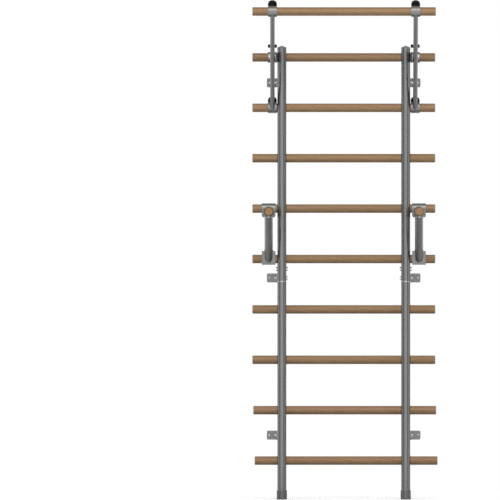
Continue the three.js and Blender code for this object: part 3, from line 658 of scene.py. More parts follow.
# %% Grey and black plastic
def moulded(colour, worn, grain, rough):
    """Moulded skin: grain as bump, a slow drift of tone, and paler, smoother marks from hands."""
    def build(desk, place):
        skin = place_group(desk, "skin grain", place["Object"], Speckle_Scale=1500.0, Peel_Scale=1100.0,
                           Speckle_Amount=0.16)
        hands = place_group(desk, "handled", place["Object"], Scale=22.0, Amount=0.8)
        base = tinted(desk, desk.plus(skin["Speckle"], (hands["Cloud"], 0.25)), colour)
        return {
            "Base Color": desk.mix(desk.math("MULTIPLY", hands["Smudge"], 0.35), base, worn),
            "Roughness": desk.plus(rough, (hands["Smudge"], -0.1)),
            "Normal": bumped(desk, skin["Height"], strength=grain, depth=0.06),
        }
    return build


grey_plastic = make_finish("silver-grey moulded plastic", "grey_plastic",
                           moulded(even(0.17), even(0.21), grain=0.12, rough=0.3), Metallic=0.75)
black_plastic = make_finish("black moulded plastic", "black_plastic",
                            moulded((0.007, 0.007, 0.008, 1), even(0.02), grain=0.4, rough=0.5),
                            Specular_IOR_Level=0.22)

# %% [markdown]
# ## Wooden rungs, pull-up bar and grips
# All the wood is plain dowel, turned round and broken at its ends. A profile of four corners, with the two
# outer ones rounded, is turned about the bar's axis. Each takes its thickness, length and place from its
# CAD node.

# %% Dowels
DOWEL_EDGE = 4.5
GRIP_EDGE = 3.0
RUNGS = [f"rung_{number}" for number in range(1, 10)]
for node in RUNGS + ["pull_up_bar"]:
    box = node_box(node)
    dowel = rod(box.size[2] / 2, box.size[0], DOWEL_EDGE)
    make_piece(node, [dowel.laid((box.low[0], *box.middle[1:]), ALONG_X)], [beech_x])
for hand, side in SIDES:
    box = node_box(f"dip_grip_{hand}")
    grip = rod(box.size[2] / 2, box.size[1], GRIP_EDGE)
    grip = grip.laid((box.middle[0], box.high[1], box.middle[2]), ALONG_FRONT)
    make_piece(f"dip_grip_{hand}", [grip], [beech_y], f"dip_bar_{hand}")
RUNG_Y = node_box("rung_1").middle[1]
RUNG_RADIUS = node_box("rung_1").size[2] / 2
RUNG_HEIGHTS = np.array([node_box(node).middle[2] for node in RUNGS])
print(len(pieces_made), "dowels; rung radius", round(RUNG_RADIUS, 2), "heights", RUNG_HEIGHTS.round(1))

# %% [markdown]
# ## Uprights
# Each upright is a steel tube with a D section: a half-round nose to the front, two flat sides and a flat
# back with rounded corners. The rungs pass through round holes in the flat sides. The nose and the back are
# strips, and each flat side is a row of rectangles, some with a hole. A rectangle with a hole is drawn as
# rays: every point of its outline is joined to the nearest point of the hole's edge. A boolean cut would do
# too, but it leaves long thin faces. All strips share their edge points, so they merge into one skin, which
# Solidify turns into a 2 mm wall.

# %% The D outline and a rectangle with a hole
UPRIGHT = node_box("upright_right_upper")
UPRIGHT_X = UPRIGHT.middle[0]
UPRIGHT_HALF = UPRIGHT.size[0] / 2
NOSE_Y = UPRIGHT.low[1] + UPRIGHT_HALF - RUNG_Y
REAR_Y = UPRIGHT.high[1] - RUNG_Y
REAR_CORNER = 12.0
NOSE_STEPS = 40
CORNER_STEPS = 10
HOLE_SIDES = 12
NOT_ZERO = 1e-9


def arc(centre, radius, start, end, steps):
    """Points and outward normals on an arc, angles in degrees."""
    angle = np.radians(np.linspace(start, end, steps + 1))
    normal = grid(np.cos(angle), np.sin(angle))
    return np.asarray(centre) + radius * normal, normal


nose = arc((0, NOSE_Y), UPRIGHT_HALF, 180, 360, NOSE_STEPS)
inset = (UPRIGHT_HALF - REAR_CORNER, REAR_Y - REAR_CORNER)
rear_right = arc(inset, REAR_CORNER, 0, 90, CORNER_STEPS)
rear_left = arc((-inset[0], inset[1]), REAR_CORNER, 90, 180, CORNER_STEPS)
outline, outline_normal = (np.concatenate(parts) for parts in zip(nose, rear_right, rear_left))


def holed(low, high, hole, radius, reach=0.0, ends=(0.0, 0.0), rings=4):
    """A rectangle with a hole or slot, as rays. With b on the outline and p the nearest point of the hole's
    centre line, f(u, v) = (1-v) (p + radius * unit(b-p)) + v b. Corners at either end may be rounded."""
    step = np.arange(HOLE_SIDES) / HOLE_SIDES
    (s0, t0), (s1, t1) = low, high
    s = np.concatenate([s0 + (s1 - s0) * step, s1 + 0 * step, s1 + (s0 - s1) * step, s0 + 0 * step])
    t = np.concatenate([t0 + 0 * step, t0 + (t1 - t0) * step, t1 + 0 * step, t1 + (t0 - t1) * step])
    edge = grid(s, t)
    middle = (t0 + t1) / 2
    half = (t1 - t0) / 2
    for start, inward, corner in ((s0, 1, ends[0]), (s1, -1, ends[1])):
        centre = grid(start + inward * corner, middle + np.sign(t - middle) * (half - corner))
        away = edge - centre
        length = np.maximum(np.linalg.norm(away, axis=1, keepdims=True), NOT_ZERO)
        outside = ((s - start) * inward < corner) & (np.abs(t - middle) > half - corner)
        edge = np.where(outside[:, None], centre + away * corner / length, edge)
    near = grid(np.clip(edge[:, 0], hole[0] - reach, hole[0] + reach), hole[1])
    away = edge - near
    rim = near + radius * away / np.linalg.norm(away, axis=1, keepdims=True)
    v = np.linspace(0, 1, rings + 1)[:, None, None]
    return (1 - v) * rim + v * edge


print("D outline", len(outline), "points; a holed rectangle has", holed((-9, -9), (9, 9), (0, 0), 3).shape)

# %% Upright tubes
HOLE_FIT = 0.3
HOLE_PATCH = 24.0
UPRIGHT_WALL = 2.0
ENDS = ("lower", "upper")


def upright_skin(low_z, high_z, heights):
    """Nose strip, rear strip and two flat sides with a holed rectangle at each rung height."""
    patch = np.linspace(-HOLE_PATCH, HOLE_PATCH, HOLE_SIDES + 1)
    levels = np.concatenate([[low_z], np.ravel(heights[:, None] + patch), [high_z]])
    rear = np.concatenate([rear_right[0], rear_left[0]])
    skins = [Surface(grid(*strip.T, levels[:, None])) for strip in (nose[0], rear)]
    flat_y = np.linspace(NOSE_Y, REAR_Y - REAR_CORNER, HOLE_SIDES + 1)
    stops = np.concatenate([[low_z], np.ravel(heights[:, None] + patch[[0, -1]]), [high_z]])
    bore = RUNG_RADIUS + HOLE_FIT
    pierced = [holed((flat_y[0], z - HOLE_PATCH), (flat_y[-1], z + HOLE_PATCH), (0, z), bore)
               for z in heights]
    for face in (-UPRIGHT_HALF, UPRIGHT_HALF):
        skins += [Surface(grid(face, flat_y[:, None], pair)) for pair in stops.reshape(-1, 2)]
        skins += [Surface(grid(face, flat[..., 0], flat[..., 1]), False, True) for flat in pierced]
    return skins


for hand, side in SIDES:
    for end in ENDS:
        node = f"upright_{hand}_{end}"
        low_z, high_z = node_box(node).low[2], node_box(node).high[2]
        inside = RUNG_HEIGHTS[(RUNG_HEIGHTS > low_z) & (RUNG_HEIGHTS < high_z)]
        skins = [skin.laid((side * UPRIGHT_X, RUNG_Y, 0)) for skin in upright_skin(low_z, high_z, inside)]
        make_piece(node, skins, [coated_steel], wall=Wall(UPRIGHT_WALL, INSIDE))
print("uprights:", pieces_made[-4:])

# %% [markdown]
# ## Caps, feet and joint sleeves
# A low pyramid of grey plastic closes the top of each upright, a plastic shoe holds its foot, and a steel
# sleeve joins its two lengths. All three follow the same D outline. Each row of the surface is that outline
# scaled towards the rung axis, or grown outwards along its normals, at one height.

# %% Caps, feet and sleeves
BROKEN_EDGE = 0.3
CAP_BRIM = 1.5
CAP_SLOPE = (0, 0.04, 0.5, 0.95)
CAP_EAVES = ((-0.7, 0.05), (-0.2, -0.15), (0, -0.6))
PLUG_GROWTH = -2.3
PLUG_INNER = -4.3
FOOT_GROWTH = 2.7
FOOT_FLOOR = 3.0
FOOT_MOUTH = 0.4
FOOT_TOE = ((1.4, 0), (0.4, 0.4), (0, 1.4))
FOOT_LIP = ((0, 1.2), (0.35, 0.35), (1.2, 0))
SLEEVE_INNER = -5.3
RIM_HALF = 1.5
JOINT_Z = 965.0


def round_upright(side, rows, closed=False):
    """Rows of (scale, growth, height): p = scale * outline + growth * normal, at that height."""
    scale, growth, height = np.asarray(rows, float).T[:, :, None, None]
    plan = scale * outline + growth * outline_normal
    skin = Surface(grid(plan[..., 0], plan[..., 1], height[..., 0]), closed, True)
    return skin.laid((side * UPRIGHT_X, RUNG_Y, 0))


def cap_rows(low, seat, tip):
    """Down the slope, round the eaves to the seat, and down the plug inside the tube."""
    eaves = seat + CAP_BRIM
    slope = [(scale, 0, eaves + (tip - eaves) * (1 - scale)) for scale in CAP_SLOPE]
    brim = [(1, growth, eaves + lift) for growth, lift in CAP_EAVES]
    brim += [(1, 0, seat + BROKEN_EDGE), (1, -BROKEN_EDGE, seat)]
    plug = [(1, PLUG_GROWTH, seat), (1, PLUG_GROWTH, low), (1, PLUG_INNER, low), (1, PLUG_INNER, seat)]
    return slope + brim + plug + [(0, 0, seat)]


def foot_rows(top):
    """Under the shoe, round its toe, up to its lip, and down inside to its floor."""
    toe = [(1, FOOT_GROWTH - inset, lift) for inset, lift in FOOT_TOE]
    lip = [(1, FOOT_GROWTH - inset, top - drop) for inset, drop in FOOT_LIP]
    mouth = [(1, HOLE_FIT + FOOT_MOUTH, top), (1, HOLE_FIT, top - FOOT_MOUTH), (1, HOLE_FIT, FOOT_FLOOR)]
    return [(0, 0, 0)] + toe + lip + mouth + [(0, 0, FOOT_FLOOR)]


def sleeve_rows(low, high):
    """Up the outside, round the rim that parts the two tubes, and down the inside."""
    under, over = JOINT_Z - RIM_HALF, JOINT_Z + RIM_HALF
    rim = [(1, -BROKEN_EDGE, under), (1, 0, under + BROKEN_EDGE),
           (1, 0, over - BROKEN_EDGE), (1, -BROKEN_EDGE, over)]
    lower = [(1, PLUG_GROWTH, low), (1, PLUG_GROWTH, under)]
    upper = [(1, PLUG_GROWTH, over), (1, PLUG_GROWTH, high)]
    return lower + rim + upper + [(1, SLEEVE_INNER, high), (1, SLEEVE_INNER, low)]


for hand, side in SIDES:
    cap, foot, sleeve = (node_box(f"{node}_{hand}") for node in ("top_cap", "foot_cap", "joint_sleeve"))
    rows = cap_rows(cap.low[2], UPRIGHT.high[2] + HOLE_FIT, cap.high[2])
    make_piece(f"top_cap_{hand}", [round_upright(side, rows)], [grey_plastic])
    make_piece(f"foot_cap_{hand}", [round_upright(side, foot_rows(foot.high[2]))], [grey_plastic])
    rows = sleeve_rows(sleeve.low[2], sleeve.high[2])
    make_piece(f"joint_sleeve_{hand}", [round_upright(side, rows, True)], [zinc])
print("caps, feet and sleeves:", pieces_made[-6:])

# %% [markdown]
# ## Wall brackets
# Each bracket is a steel strip bent into an L: one leg lies on the upright and takes a bolt, the other lies
# on the wall and takes two screws. It is drawn flat first, with its holes and round corners, and every
# point is then carried through the bend. That is how a press makes it too, so the holes stay true. Solidify
# gives it 4 mm.

# %% Bend a flat strip
SHEET = 4.0
BRACKET_BEND = 4.0
BRACKET_CORNER = 6.0
BRACKET_NOSE = 12.0
BOLT_HOLE = 5.3
WALL_HOLE = 3.5
WALL_HOLES = (9.0, 34.0)
WALL_PATCHES = (-5.0, 6.5, -9.0)
BEND_STEPS = 5
STRIP_EDGE = 0.5
LEVELS = ("lower", "middle", "upper")


def bent(s, t, start):
    """Carries (s, t) along the leg, round the bend and along the foot, as x out from the upright and y from
    the wall."""
    angle = np.clip((s - start) / BRACKET_BEND, 0, math.pi / 2)
    past = np.maximum(s - start - BRACKET_BEND * math.pi / 2, 0)
    corner = BRACKET_BEND + SHEET / 2
    x = corner - BRACKET_BEND * np.cos(angle) + past
    y = BRACKET_BEND * np.sin(angle) - corner + np.minimum(s - start, 0)
    return grid(x, y, t)


def bracket_skins(leg, foot, half):
    """The strip as (s along, t across) from its nose to the end of its foot, with holes for a bolt and two
    wall screws; then bent."""
    corner = BRACKET_BEND + SHEET / 2
    start = leg - corner
    turn = start + BRACKET_BEND * math.pi / 2 - corner
    first, second = (turn + x for x in WALL_HOLES)
    leg_end = 2 * BRACKET_NOSE
    cuts = [s + patch for s, patch in zip((first, first, second), WALL_PATCHES)]
    pierced = [
        holed((0, -half), (leg_end, half), (BRACKET_NOSE, 0), BOLT_HOLE, ends=(BRACKET_CORNER, 0)),
        holed((cuts[0], -half), (cuts[1], half), (first, 0), WALL_HOLE, rings=8),
        holed((cuts[2], -half), (turn + foot, half), (second, 0), WALL_HOLE, ends=(0, BRACKET_CORNER)),
    ]
    across = np.linspace(-half, half, HOLE_SIDES + 1)
    plain = [np.append(leg_end, np.linspace(start, cuts[0], BEND_STEPS + 1)), np.array(cuts[1:])]
    skins = [Surface(bent(flat[..., 0], flat[..., 1], start), False, True) for flat in pierced]
    return skins + [Surface(bent(s[:, None], across, start)) for s in plain]


def bracket_origin(side, box):
    """The corner of a bracket, where the upright's side plane meets the wall."""
    near = box.low[0] if side > 0 else box.high[0]
    return np.array([near, box.high[1], box.middle[2]])


for hand, side in SIDES:
    for level in LEVELS:
        node = f"wall_bracket_{hand}_{level}"
        box = node_box(node)
        mirror = np.diag([side, 1, 1])
        skins = [skin.laid(bracket_origin(side, box), mirror)
                 for skin in bracket_skins(box.size[1], box.size[0], box.size[2] / 2)]
        make_piece(node, skins, [coated_steel], wall=Wall(SHEET, edge=STRIP_EDGE))
print("brackets:", pieces_made[-6:])

# %% [markdown]
# ## Bolts, nuts and screws
# A hexagon head is a circle whose radius follows six straight sides, with its corners cut by a cone, which
# leaves the curved edges that real heads have. Round heads are turned, with a six-sided or cross-shaped
# recess pressed into the top: the recess is one more pair of rows whose radius changes round the turn.

# %% Hexagon heads and nuts
BOLT_RADIUS = 5.0
BOLT_CHAMFER = 0.8
HEX_HALF = 8.5
HEX_HEIGHT = 6.4
HEX_EDGE = 0.3
HEX_DISH = 0.4
DISH_FLOOR, DISH_RIM = 0.55, 0.62
NUT_BORE = 5.05
NUT_CHAMFER = 0.6
HEX_COLUMNS = 72
HEX_TURN = round_turn(HEX_COLUMNS)


def hexagon(half):
    """Radius of a hexagon round the turn: r = half / cos(angle to the middle of the nearest side)."""
    return half / np.cos((HEX_TURN + math.pi / 6) % (math.pi / 3) - math.pi / 6)


HEX_SIDE = hexagon(HEX_HALF)
HEX_FACE = 0.94 * HEX_HALF
HEX_CUT = np.maximum(HEX_SIDE - HEX_FACE, 0) * math.tan(math.radians(30))


def stacked(rows, closed=False):
    """Rows of (radius, height), each a number or an array round the turn, as one turned surface."""
    profile = [np.array([np.broadcast_to(row[k], HEX_COLUMNS) for row in rows], float) for k in (0, 1)]
    return Surface(turned(profile, HEX_COLUMNS), closed, True)


def hex_head():
    """Rows of a hexagon head above 0: a dished top, corners cut at 30 degrees, and the top of the shank."""
    dish = HEX_HEIGHT - HEX_DISH
    top = [(0, dish), (HEX_FACE * DISH_FLOOR, dish), (HEX_FACE * DISH_RIM, HEX_HEIGHT),
           (HEX_FACE, HEX_HEIGHT), (HEX_SIDE, HEX_HEIGHT - HEX_CUT)]
    return top + [(HEX_SIDE, HEX_EDGE), (HEX_SIDE - HEX_EDGE, 0), (BOLT_RADIUS, 0)]


def hex_bolt(length):
    """A hexagon head above 0 and a round shank that ends in a chamfer at minus length."""
    end = [(BOLT_RADIUS, BOLT_CHAMFER - length), (BOLT_RADIUS - BOLT_CHAMFER, -length), (0, -length)]
    return stacked(hex_head() + end)


def hex_nut(height):
    """A hexagon ring with both faces cut at 30 degrees; its profile is a closed loop."""
    bore = [(NUT_BORE, NUT_CHAMFER), (NUT_BORE + NUT_CHAMFER, 0)]
    lower = [(HEX_FACE, 0), (HEX_SIDE, HEX_CUT)]
    upper = [(HEX_SIDE, height - HEX_CUT), (HEX_FACE, height)]
    return stacked(bore + lower + upper + [(r, height - z) for r, z in bore[::-1]], True)


print("hexagon across corners", round(2 * HEX_SIDE.max(), 2), "mm")

# %% Round heads
HEAD_EDGE = 0.25
HEAD_STEPS = 8
RECESS_TAPER = 0.8
RECESS_ROOM = 1.1
DOME_RADIUS = 8.0
DOME_HEIGHT = 2.6
SCREW_RADIUS = 7.5
SCREW_HEIGHT = 5.0
SCREW_SHANK = 3.0
SOCKET_HALF = 2.0
SOCKET_RECESS = hexagon(SOCKET_HALF)
SOCKET_DEPTH = 2.2


def round_head(radius, height, length, shank, recess=None, depth=0.0):
    """A domed head above 0, z = height * sqrt(1 - (r/radius)^2) past an upright edge, and a shank below."""
    share = np.sin(np.linspace(0, math.pi / 2, HEAD_STEPS + 1))[1:]
    lift = HEAD_EDGE * height
    dome = [(radius * s, lift + (height - lift) * math.sqrt(max(0.0, 1 - s * s))) for s in share]
    top = [(0, height)]
    if recess is not None:
        level = lift + (height - lift) * np.sqrt(1 - (recess / radius) ** 2)
        top = [(0, height - depth), (recess * RECESS_TAPER, height - depth), (recess, level)]
        dome = [row for row in dome if row[0] > RECESS_ROOM * np.max(recess)]
    return stacked(top + dome + [(radius, 0), (shank, 0), (shank, -length), (0, -length)])


def socket_screw(length):
    """A round-headed screw of a length over all, with a six-sided recess."""
    below = length - SCREW_HEIGHT
    return round_head(SCREW_RADIUS, SCREW_HEIGHT, below, SCREW_SHANK, SOCKET_RECESS, SOCKET_DEPTH)


print("socket across flats", round(2 * SOCKET_RECESS.min(), 2), "mm")

# %% Fasteners of the frame
def outwards(side):
    """Axes for a fastener whose head looks away from the middle of the object."""
    return ALONG_X * np.array([side, 1, 1])


def outer_face(side, box, inset=0.0):
    """Middle of the face of a box that looks outwards, moved in by an inset."""
    outer = max(abs(box.low[0]), abs(box.high[0])) - inset
    return (side * outer, *box.middle[1:])


def make_nut(node, side, finish):
    """A nut on the inner end of a bolt."""
    box = node_box(node)
    make_piece(node, [hex_nut(box.size[0]).laid(outer_face(side, box), outwards(-side))], [finish])


for hand, side in SIDES:
    for node in [f"{bolt}_{hand}_{end}" for bolt in ("bracket_bolt", "joint_bolt") for end in ENDS]:
        box = node_box(node)
        hexed = node == f"joint_bolt_{hand}_upper"
        height = HEX_HEIGHT if hexed else DOME_HEIGHT
        shank = box.size[0] - height
        bolt = hex_bolt(shank) if hexed else round_head(DOME_RADIUS, height, shank, BOLT_RADIUS)
        make_piece(node, [bolt.laid(outer_face(side, box, height), outwards(side))], [zinc])
    for end in ENDS:
        make_nut(f"joint_nut_{hand}_{end}", side, zinc)
    box = node_box(f"rung_screw_{hand}")
    seat = (box.middle[0], box.high[1] - SCREW_HEIGHT, box.middle[2])
    screw = socket_screw(box.size[1]).laid(seat, ALONG_FRONT * np.array([1, -1, 1]))
    make_piece(f"rung_screw_{hand}", [screw], [zinc])
print("fasteners of the frame:", pieces_made[-14:])

# %% [markdown]
# The brackets are held to the wall by pan-head screws, whose bright heads show in every wall leg. They end
# flush with the wall, since what lies inside it isn't part of this object.

# %% Wall screws
PAN_RADIUS = 4.7
PAN_HEIGHT = 2.4
CROSS_RECESS = 0.5 + 1.2 * np.abs(np.cos(2 * HEX_TURN)) ** 5
CROSS_DEPTH = 1.4
pan_screw = round_head(PAN_RADIUS, PAN_HEIGHT, SHEET, SCREW_SHANK, CROSS_RECESS, CROSS_DEPTH)
for hand, side in SIDES:
    for level in LEVELS:
        corner = bracket_origin(side, node_box(f"wall_bracket_{hand}_{level}"))
        screws = [pan_screw.laid(corner + (side * out, -SHEET, 0), ALONG_FRONT) for out in WALL_HOLES]
        make_piece(f"wall_screws_{hand}_{level}", screws, [zinc], replaces=False)
print("wall screws:", pieces_made[-6:])

# %% [markdown]
# ## Pull-up arms and struts
# An arm is a flat steel tube welded between two clamp collars, with a row of holes and a slot that set the
# angle. Its ends are cut to the round of the collars, so each end row lies at the height sqrt(R^2 - y^2)
# above the collar's axis. A weld bead is a thin tube round that cut, with the slight ripple that a welder's
# hand leaves.

# %% Arm tubes
COLLAR_LENGTH = 40.0
COLLAR_BORE = 19.5
COLLAR_RADIUS = 23.75
COLLAR_EDGE = 0.8
ARM_THICK = 20.0
ARM_EDGE = 9.5
ARM_EDGE_STEPS = 8
ARM_WALL = 2.0
ARM_BORE = 5.3
ARM_HOLE_STEP = 60.0
ARM_HOLE_PATCH = 9.0
SLOT_LENGTH = 24.0
SLOT_RADIUS = 3.25
SLOT_FROM_BAR = 108.0
SLOT_PATCH = 17.0
ARM_X = node_box("pull_up_arm_right").middle[0]
STRUT_BOLT = node_box("strut_bolt_left").middle
TOP_RUNG = np.array([RUNG_Y, RUNG_HEIGHTS[8]])
arm_foot = np.array([RUNG_Y, RUNG_HEIGHTS[7]])
arm_head = node_box("pull_up_bar").middle[1:]
ARM_LENGTH = float(np.linalg.norm(arm_head - arm_foot))
lean_y, lean_z = (arm_head - arm_foot) / ARM_LENGTH
ARM_AXES = np.array([[1, 0, 0], [0, lean_z, -lean_y], [0, lean_y, lean_z]])
ARM_BOLT = float(np.linalg.norm(STRUT_BOLT[1:] - arm_foot))


def coped(y):
    """Height above a collar's axis where a tube that meets it ends: sqrt(R^2 - y^2)."""
    return np.sqrt(np.maximum(COLLAR_RADIUS ** 2 - y ** 2, 0.0))


def arm_skin():
    """Two rounded edges and two flat faces with three holes and a slot, as local x, y and length z."""
    half_x = ARM_THICK / 2
    flat_y = COLLAR_RADIUS - ARM_EDGE
    marks = [(ARM_BOLT + k * ARM_HOLE_STEP, ARM_HOLE_PATCH, ARM_BORE, 0.0) for k in (-1, 0, 1)]
    marks.append((ARM_LENGTH - SLOT_FROM_BAR, SLOT_PATCH, SLOT_RADIUS, SLOT_LENGTH / 2 - SLOT_RADIUS))
    step = np.linspace(-1, 1, HOLE_SIDES + 1)
    levels = np.concatenate([place + half * step for place, half, _, _ in marks])
    right = arc((half_x - ARM_EDGE, flat_y), ARM_EDGE, 0, 90, ARM_EDGE_STEPS)[0]
    left = arc((ARM_EDGE - half_x, flat_y), ARM_EDGE, 90, 180, ARM_EDGE_STEPS)[0]
    upper = np.concatenate([right, left])
    skins = []
    for strip in (upper, upper * np.array([1, -1])):
        ends = coped(strip[:, 1])
        z = np.stack(np.broadcast_arrays(ends, *levels, ARM_LENGTH - ends))
        skins.append(Surface(grid(*strip.T, z)))
    across = flat_y * step
    ends = coped(across)
    stops = [ends]
    stops += [np.full_like(ends, place + way * half) for place, half, _, _ in marks for way in (-1, 1)]
    stops.append(ARM_LENGTH - ends)
    pierced = [holed((place - half, -flat_y), (place + half, flat_y), (place, 0), radius, reach)
               for place, half, radius, reach in marks]
    for face in (-half_x, half_x):
        skins += [Surface(grid(face, across, np.stack(stops[k:k + 2]))) for k in range(0, len(stops), 2)]
        skins += [Surface(grid(face, flat[..., 1], flat[..., 0]), False, True) for flat in pierced]
    return skins


for hand, side in SIDES:
    skins = [skin.laid((side * ARM_X, *arm_foot), ARM_AXES) for skin in arm_skin()]
    make_piece(f"pull_up_arm_{hand}", skins, [coated_steel], wall=Wall(ARM_WALL, INSIDE))
lean = math.degrees(math.atan2(-lean_y, lean_z))
print("arm length", round(ARM_LENGTH, 2), "lean", round(lean, 2), "degrees")

# %% Weld beads, and the arms' collars
BEAD = 1.5
BEAD_SIDES = 10
BEAD_INSET = 1.0
RIPPLE = 0.12
RIPPLE_LENGTH = 3.2
LOOP_POINTS = 240
LOOP_CORNER_STEPS = 12


def bead(path, out, along, radius=BEAD):
    """A closed bead: path(u) + r(u) (cos v out(u) + sin v along), with r rippling along the path."""
    length = np.cumsum(np.linalg.norm(np.diff(path, axis=0, append=path[:1]), axis=1))
    waves = max(1, round(length[-1] / RIPPLE_LENGTH))
    size = radius * (1 + RIPPLE * np.cos(2 * math.pi * waves * length / length[-1]))[:, None, None]
    v = round_turn(BEAD_SIDES)[None, :, None]
    rings = path[:, None] + size * (np.cos(v) * out[:, None] + np.sin(v) * np.array(along))
    return Surface(rings, True, True)


def loop_round(half_x, half_y, corner):
    """Evenly spaced points and outward normals round a rectangle with rounded corners."""
    centres = np.array([(1, 1), (-1, 1), (-1, -1), (1, -1)]) * (half_x - corner, half_y - corner)
    arcs = [arc(centre, corner, start, start + 90, LOOP_CORNER_STEPS)
            for centre, start in zip(centres, (0, 90, 180, 270))]
    points, normals = (np.concatenate([*parts, parts[0][:1]]) for parts in zip(*arcs))
    length = np.append(0, np.cumsum(np.linalg.norm(np.diff(points, axis=0), axis=1)))
    wanted = np.linspace(0, length[-1], LOOP_POINTS, endpoint=False)
    plan, facing = (grid(*(np.interp(wanted, length, axis) for axis in item.T)) for item in (points, normals))
    return plan, facing / np.linalg.norm(facing, axis=1, keepdims=True)


collar = ring(COLLAR_BORE, COLLAR_RADIUS, COLLAR_LENGTH, COLLAR_EDGE)
plan, facing = loop_round(ARM_THICK / 2, COLLAR_RADIUS - BEAD_INSET, ARM_EDGE)
low_cut = grid(*plan.T, coped(plan[:, 1]))
high_cut = low_cut * (1, 1, -1) + (0, 0, ARM_LENGTH)
beads = [bead(cut, grid(*facing.T, 0.0), (0, 0, 1)) for cut in (low_cut, high_cut)]
for hand, side in SIDES:
    surfaces = [item.laid((side * ARM_X, *arm_foot), ARM_AXES) for item in beads]
    surfaces += [collar.laid((side * ARM_X, *middle), ALONG_X) for middle in (arm_foot, arm_head)]
    make_piece(f"pull_up_arm_{hand}", surfaces, [coated_steel], part="_collars")
print("collars and beads on", pieces_made[-2:])

# %% [markdown]
# A strut is a flat steel bar that runs level from a collar on the top rung to the arm. Its front end is a
# half circle round the bolt hole, and its rear end is cut to the collar.

# %% Struts
STRUT_HALF = 22.3
STRUT_THICK = 6.0
STRUT_INSET = 13.3
STRUT_EDGE = 0.6
STRUT_STEPS = 8
STRUT_BEAD_CORNER = 1.0
STRUT_REACH = RUNG_Y - STRUT_BOLT[1]
STRUT_RISE = STRUT_BOLT[2] - RUNG_HEIGHTS[8]
corner = np.array([STRUT_HALF, STRUT_HALF])
tip = holed(-corner, corner, (0, STRUT_RISE), BOLT_HOLE, ends=(STRUT_HALF, 0))
across = np.linspace(-STRUT_HALF, STRUT_HALF, HOLE_SIDES + 1)
share = np.linspace(0, 1, STRUT_STEPS + 1)[:, None]
bar = STRUT_HALF + share * (STRUT_REACH - coped(across) - STRUT_HALF)
strut = [Surface(grid(0, tip[..., 0] - STRUT_REACH, tip[..., 1]), False, True),
         Surface(grid(0, bar - STRUT_REACH, across))]
plan, facing = loop_round(STRUT_THICK / 2, STRUT_HALF, STRUT_BEAD_CORNER)
cut = grid(plan[:, 0], -coped(plan[:, 1]), plan[:, 1])
strut_bead = bead(cut, grid(facing[:, 0], 0, facing[:, 1]), (0, -1, 0))
for hand, side in SIDES:
    middle = (side * (ARM_X - STRUT_INSET), *TOP_RUNG)
    make_piece(f"pull_up_strut_{hand}", [item.laid(middle) for item in strut], [coated_steel],
               wall=Wall(STRUT_THICK, edge=STRUT_EDGE))
    welded = [collar.laid((side * ARM_X, *TOP_RUNG), ALONG_X), strut_bead.laid(middle)]
    make_piece(f"pull_up_strut_{hand}", welded, [coated_steel], part="_collar")
print("struts reach", round(STRUT_REACH, 1), "mm forward of the top rung")

# %% [markdown]
# The strut bolts pass through the arm and the strut, and their ends stand well out of the nuts, so the
# thread shows. Thread and nut are dark zinc whose dark is painted shade. A thread is a shank whose radius
# follows a zigzag that climbs once per turn.

# %% Strut bolts with real threads
THREAD_PITCH = 1.5
THREAD_DEPTH = 0.55
THREAD_LENGTH = 18.0
ROWS_PER_TURN = 8


def thread_rows(start, end):
    """Rows of a thread from -start down to -end: r = R - depth * |2 frac(z/pitch - u/2pi) - 1|. Over the last
    millimetre the crests fade into the root."""
    z = np.linspace(-start, -end, int((end - start) / THREAD_PITCH * ROWS_PER_TURN))[:, None]
    zigzag = np.abs(2 * ((z / THREAD_PITCH - HEX_TURN / (2 * math.pi)) % 1) - 1)
    radius = BOLT_RADIUS - THREAD_DEPTH * np.maximum(zigzag, 1 - np.clip(end + z, 0, 1))
    return [*zip(radius, z), (0, -end)]


for hand, side in SIDES:
    box = node_box(f"strut_bolt_{hand}")
    length = box.size[0] - HEX_HEIGHT
    rows = thread_rows(length - THREAD_LENGTH, length)
    parts = [stacked(hex_head() + rows[:1]), stacked(rows)._replace(finish=1)]
    parts = [item.laid(outer_face(side, box, HEX_HEIGHT), outwards(side)) for item in parts]
    # The thread end and the nut carry painted shade.
    make_piece(f"strut_bolt_{hand}", parts, [zinc, zinc_in_painted_shade])
    make_nut(f"strut_nut_{hand}", side, zinc_in_painted_shade)
print("thread turns per bolt:", THREAD_LENGTH / THREAD_PITCH)

# %% [markdown]
# ## Clamp knobs
# Six black knobs press their studs through the collars onto the wood. The grip is a fluted disc: its radius
# falls by a cosine ten times round the turn, only on the side wall, and a cone runs down from it to the
# bare stud.

# %% Fluted knobs
KNOB_COLUMNS = 160
KNOB_RADIUS = 20.0
KNOB_HUB = 10.0
KNOB_START = 42.75
KNOB_END = 57.35
KNOB_DISH = 0.8
DISH_INSETS = (7.0, 5.5)
KNOB_ROUNDING = [0, 0.6, 0.6, 2.2, 1.6, 1.2, 0.05, 0]
KNOB_ROUND_STEPS = 8
CONE_FOOT = 25.75
CONE_GROWTH = 0.4
FLUTES = 10
FLUTE_DEPTH = 1.6
FLUTE_BAND = 4.5
STUD_RADIUS = 4.0
STUD_EDGE = 0.5
STUD_COLUMNS = 32
STUD_IN_CONE = 2.0


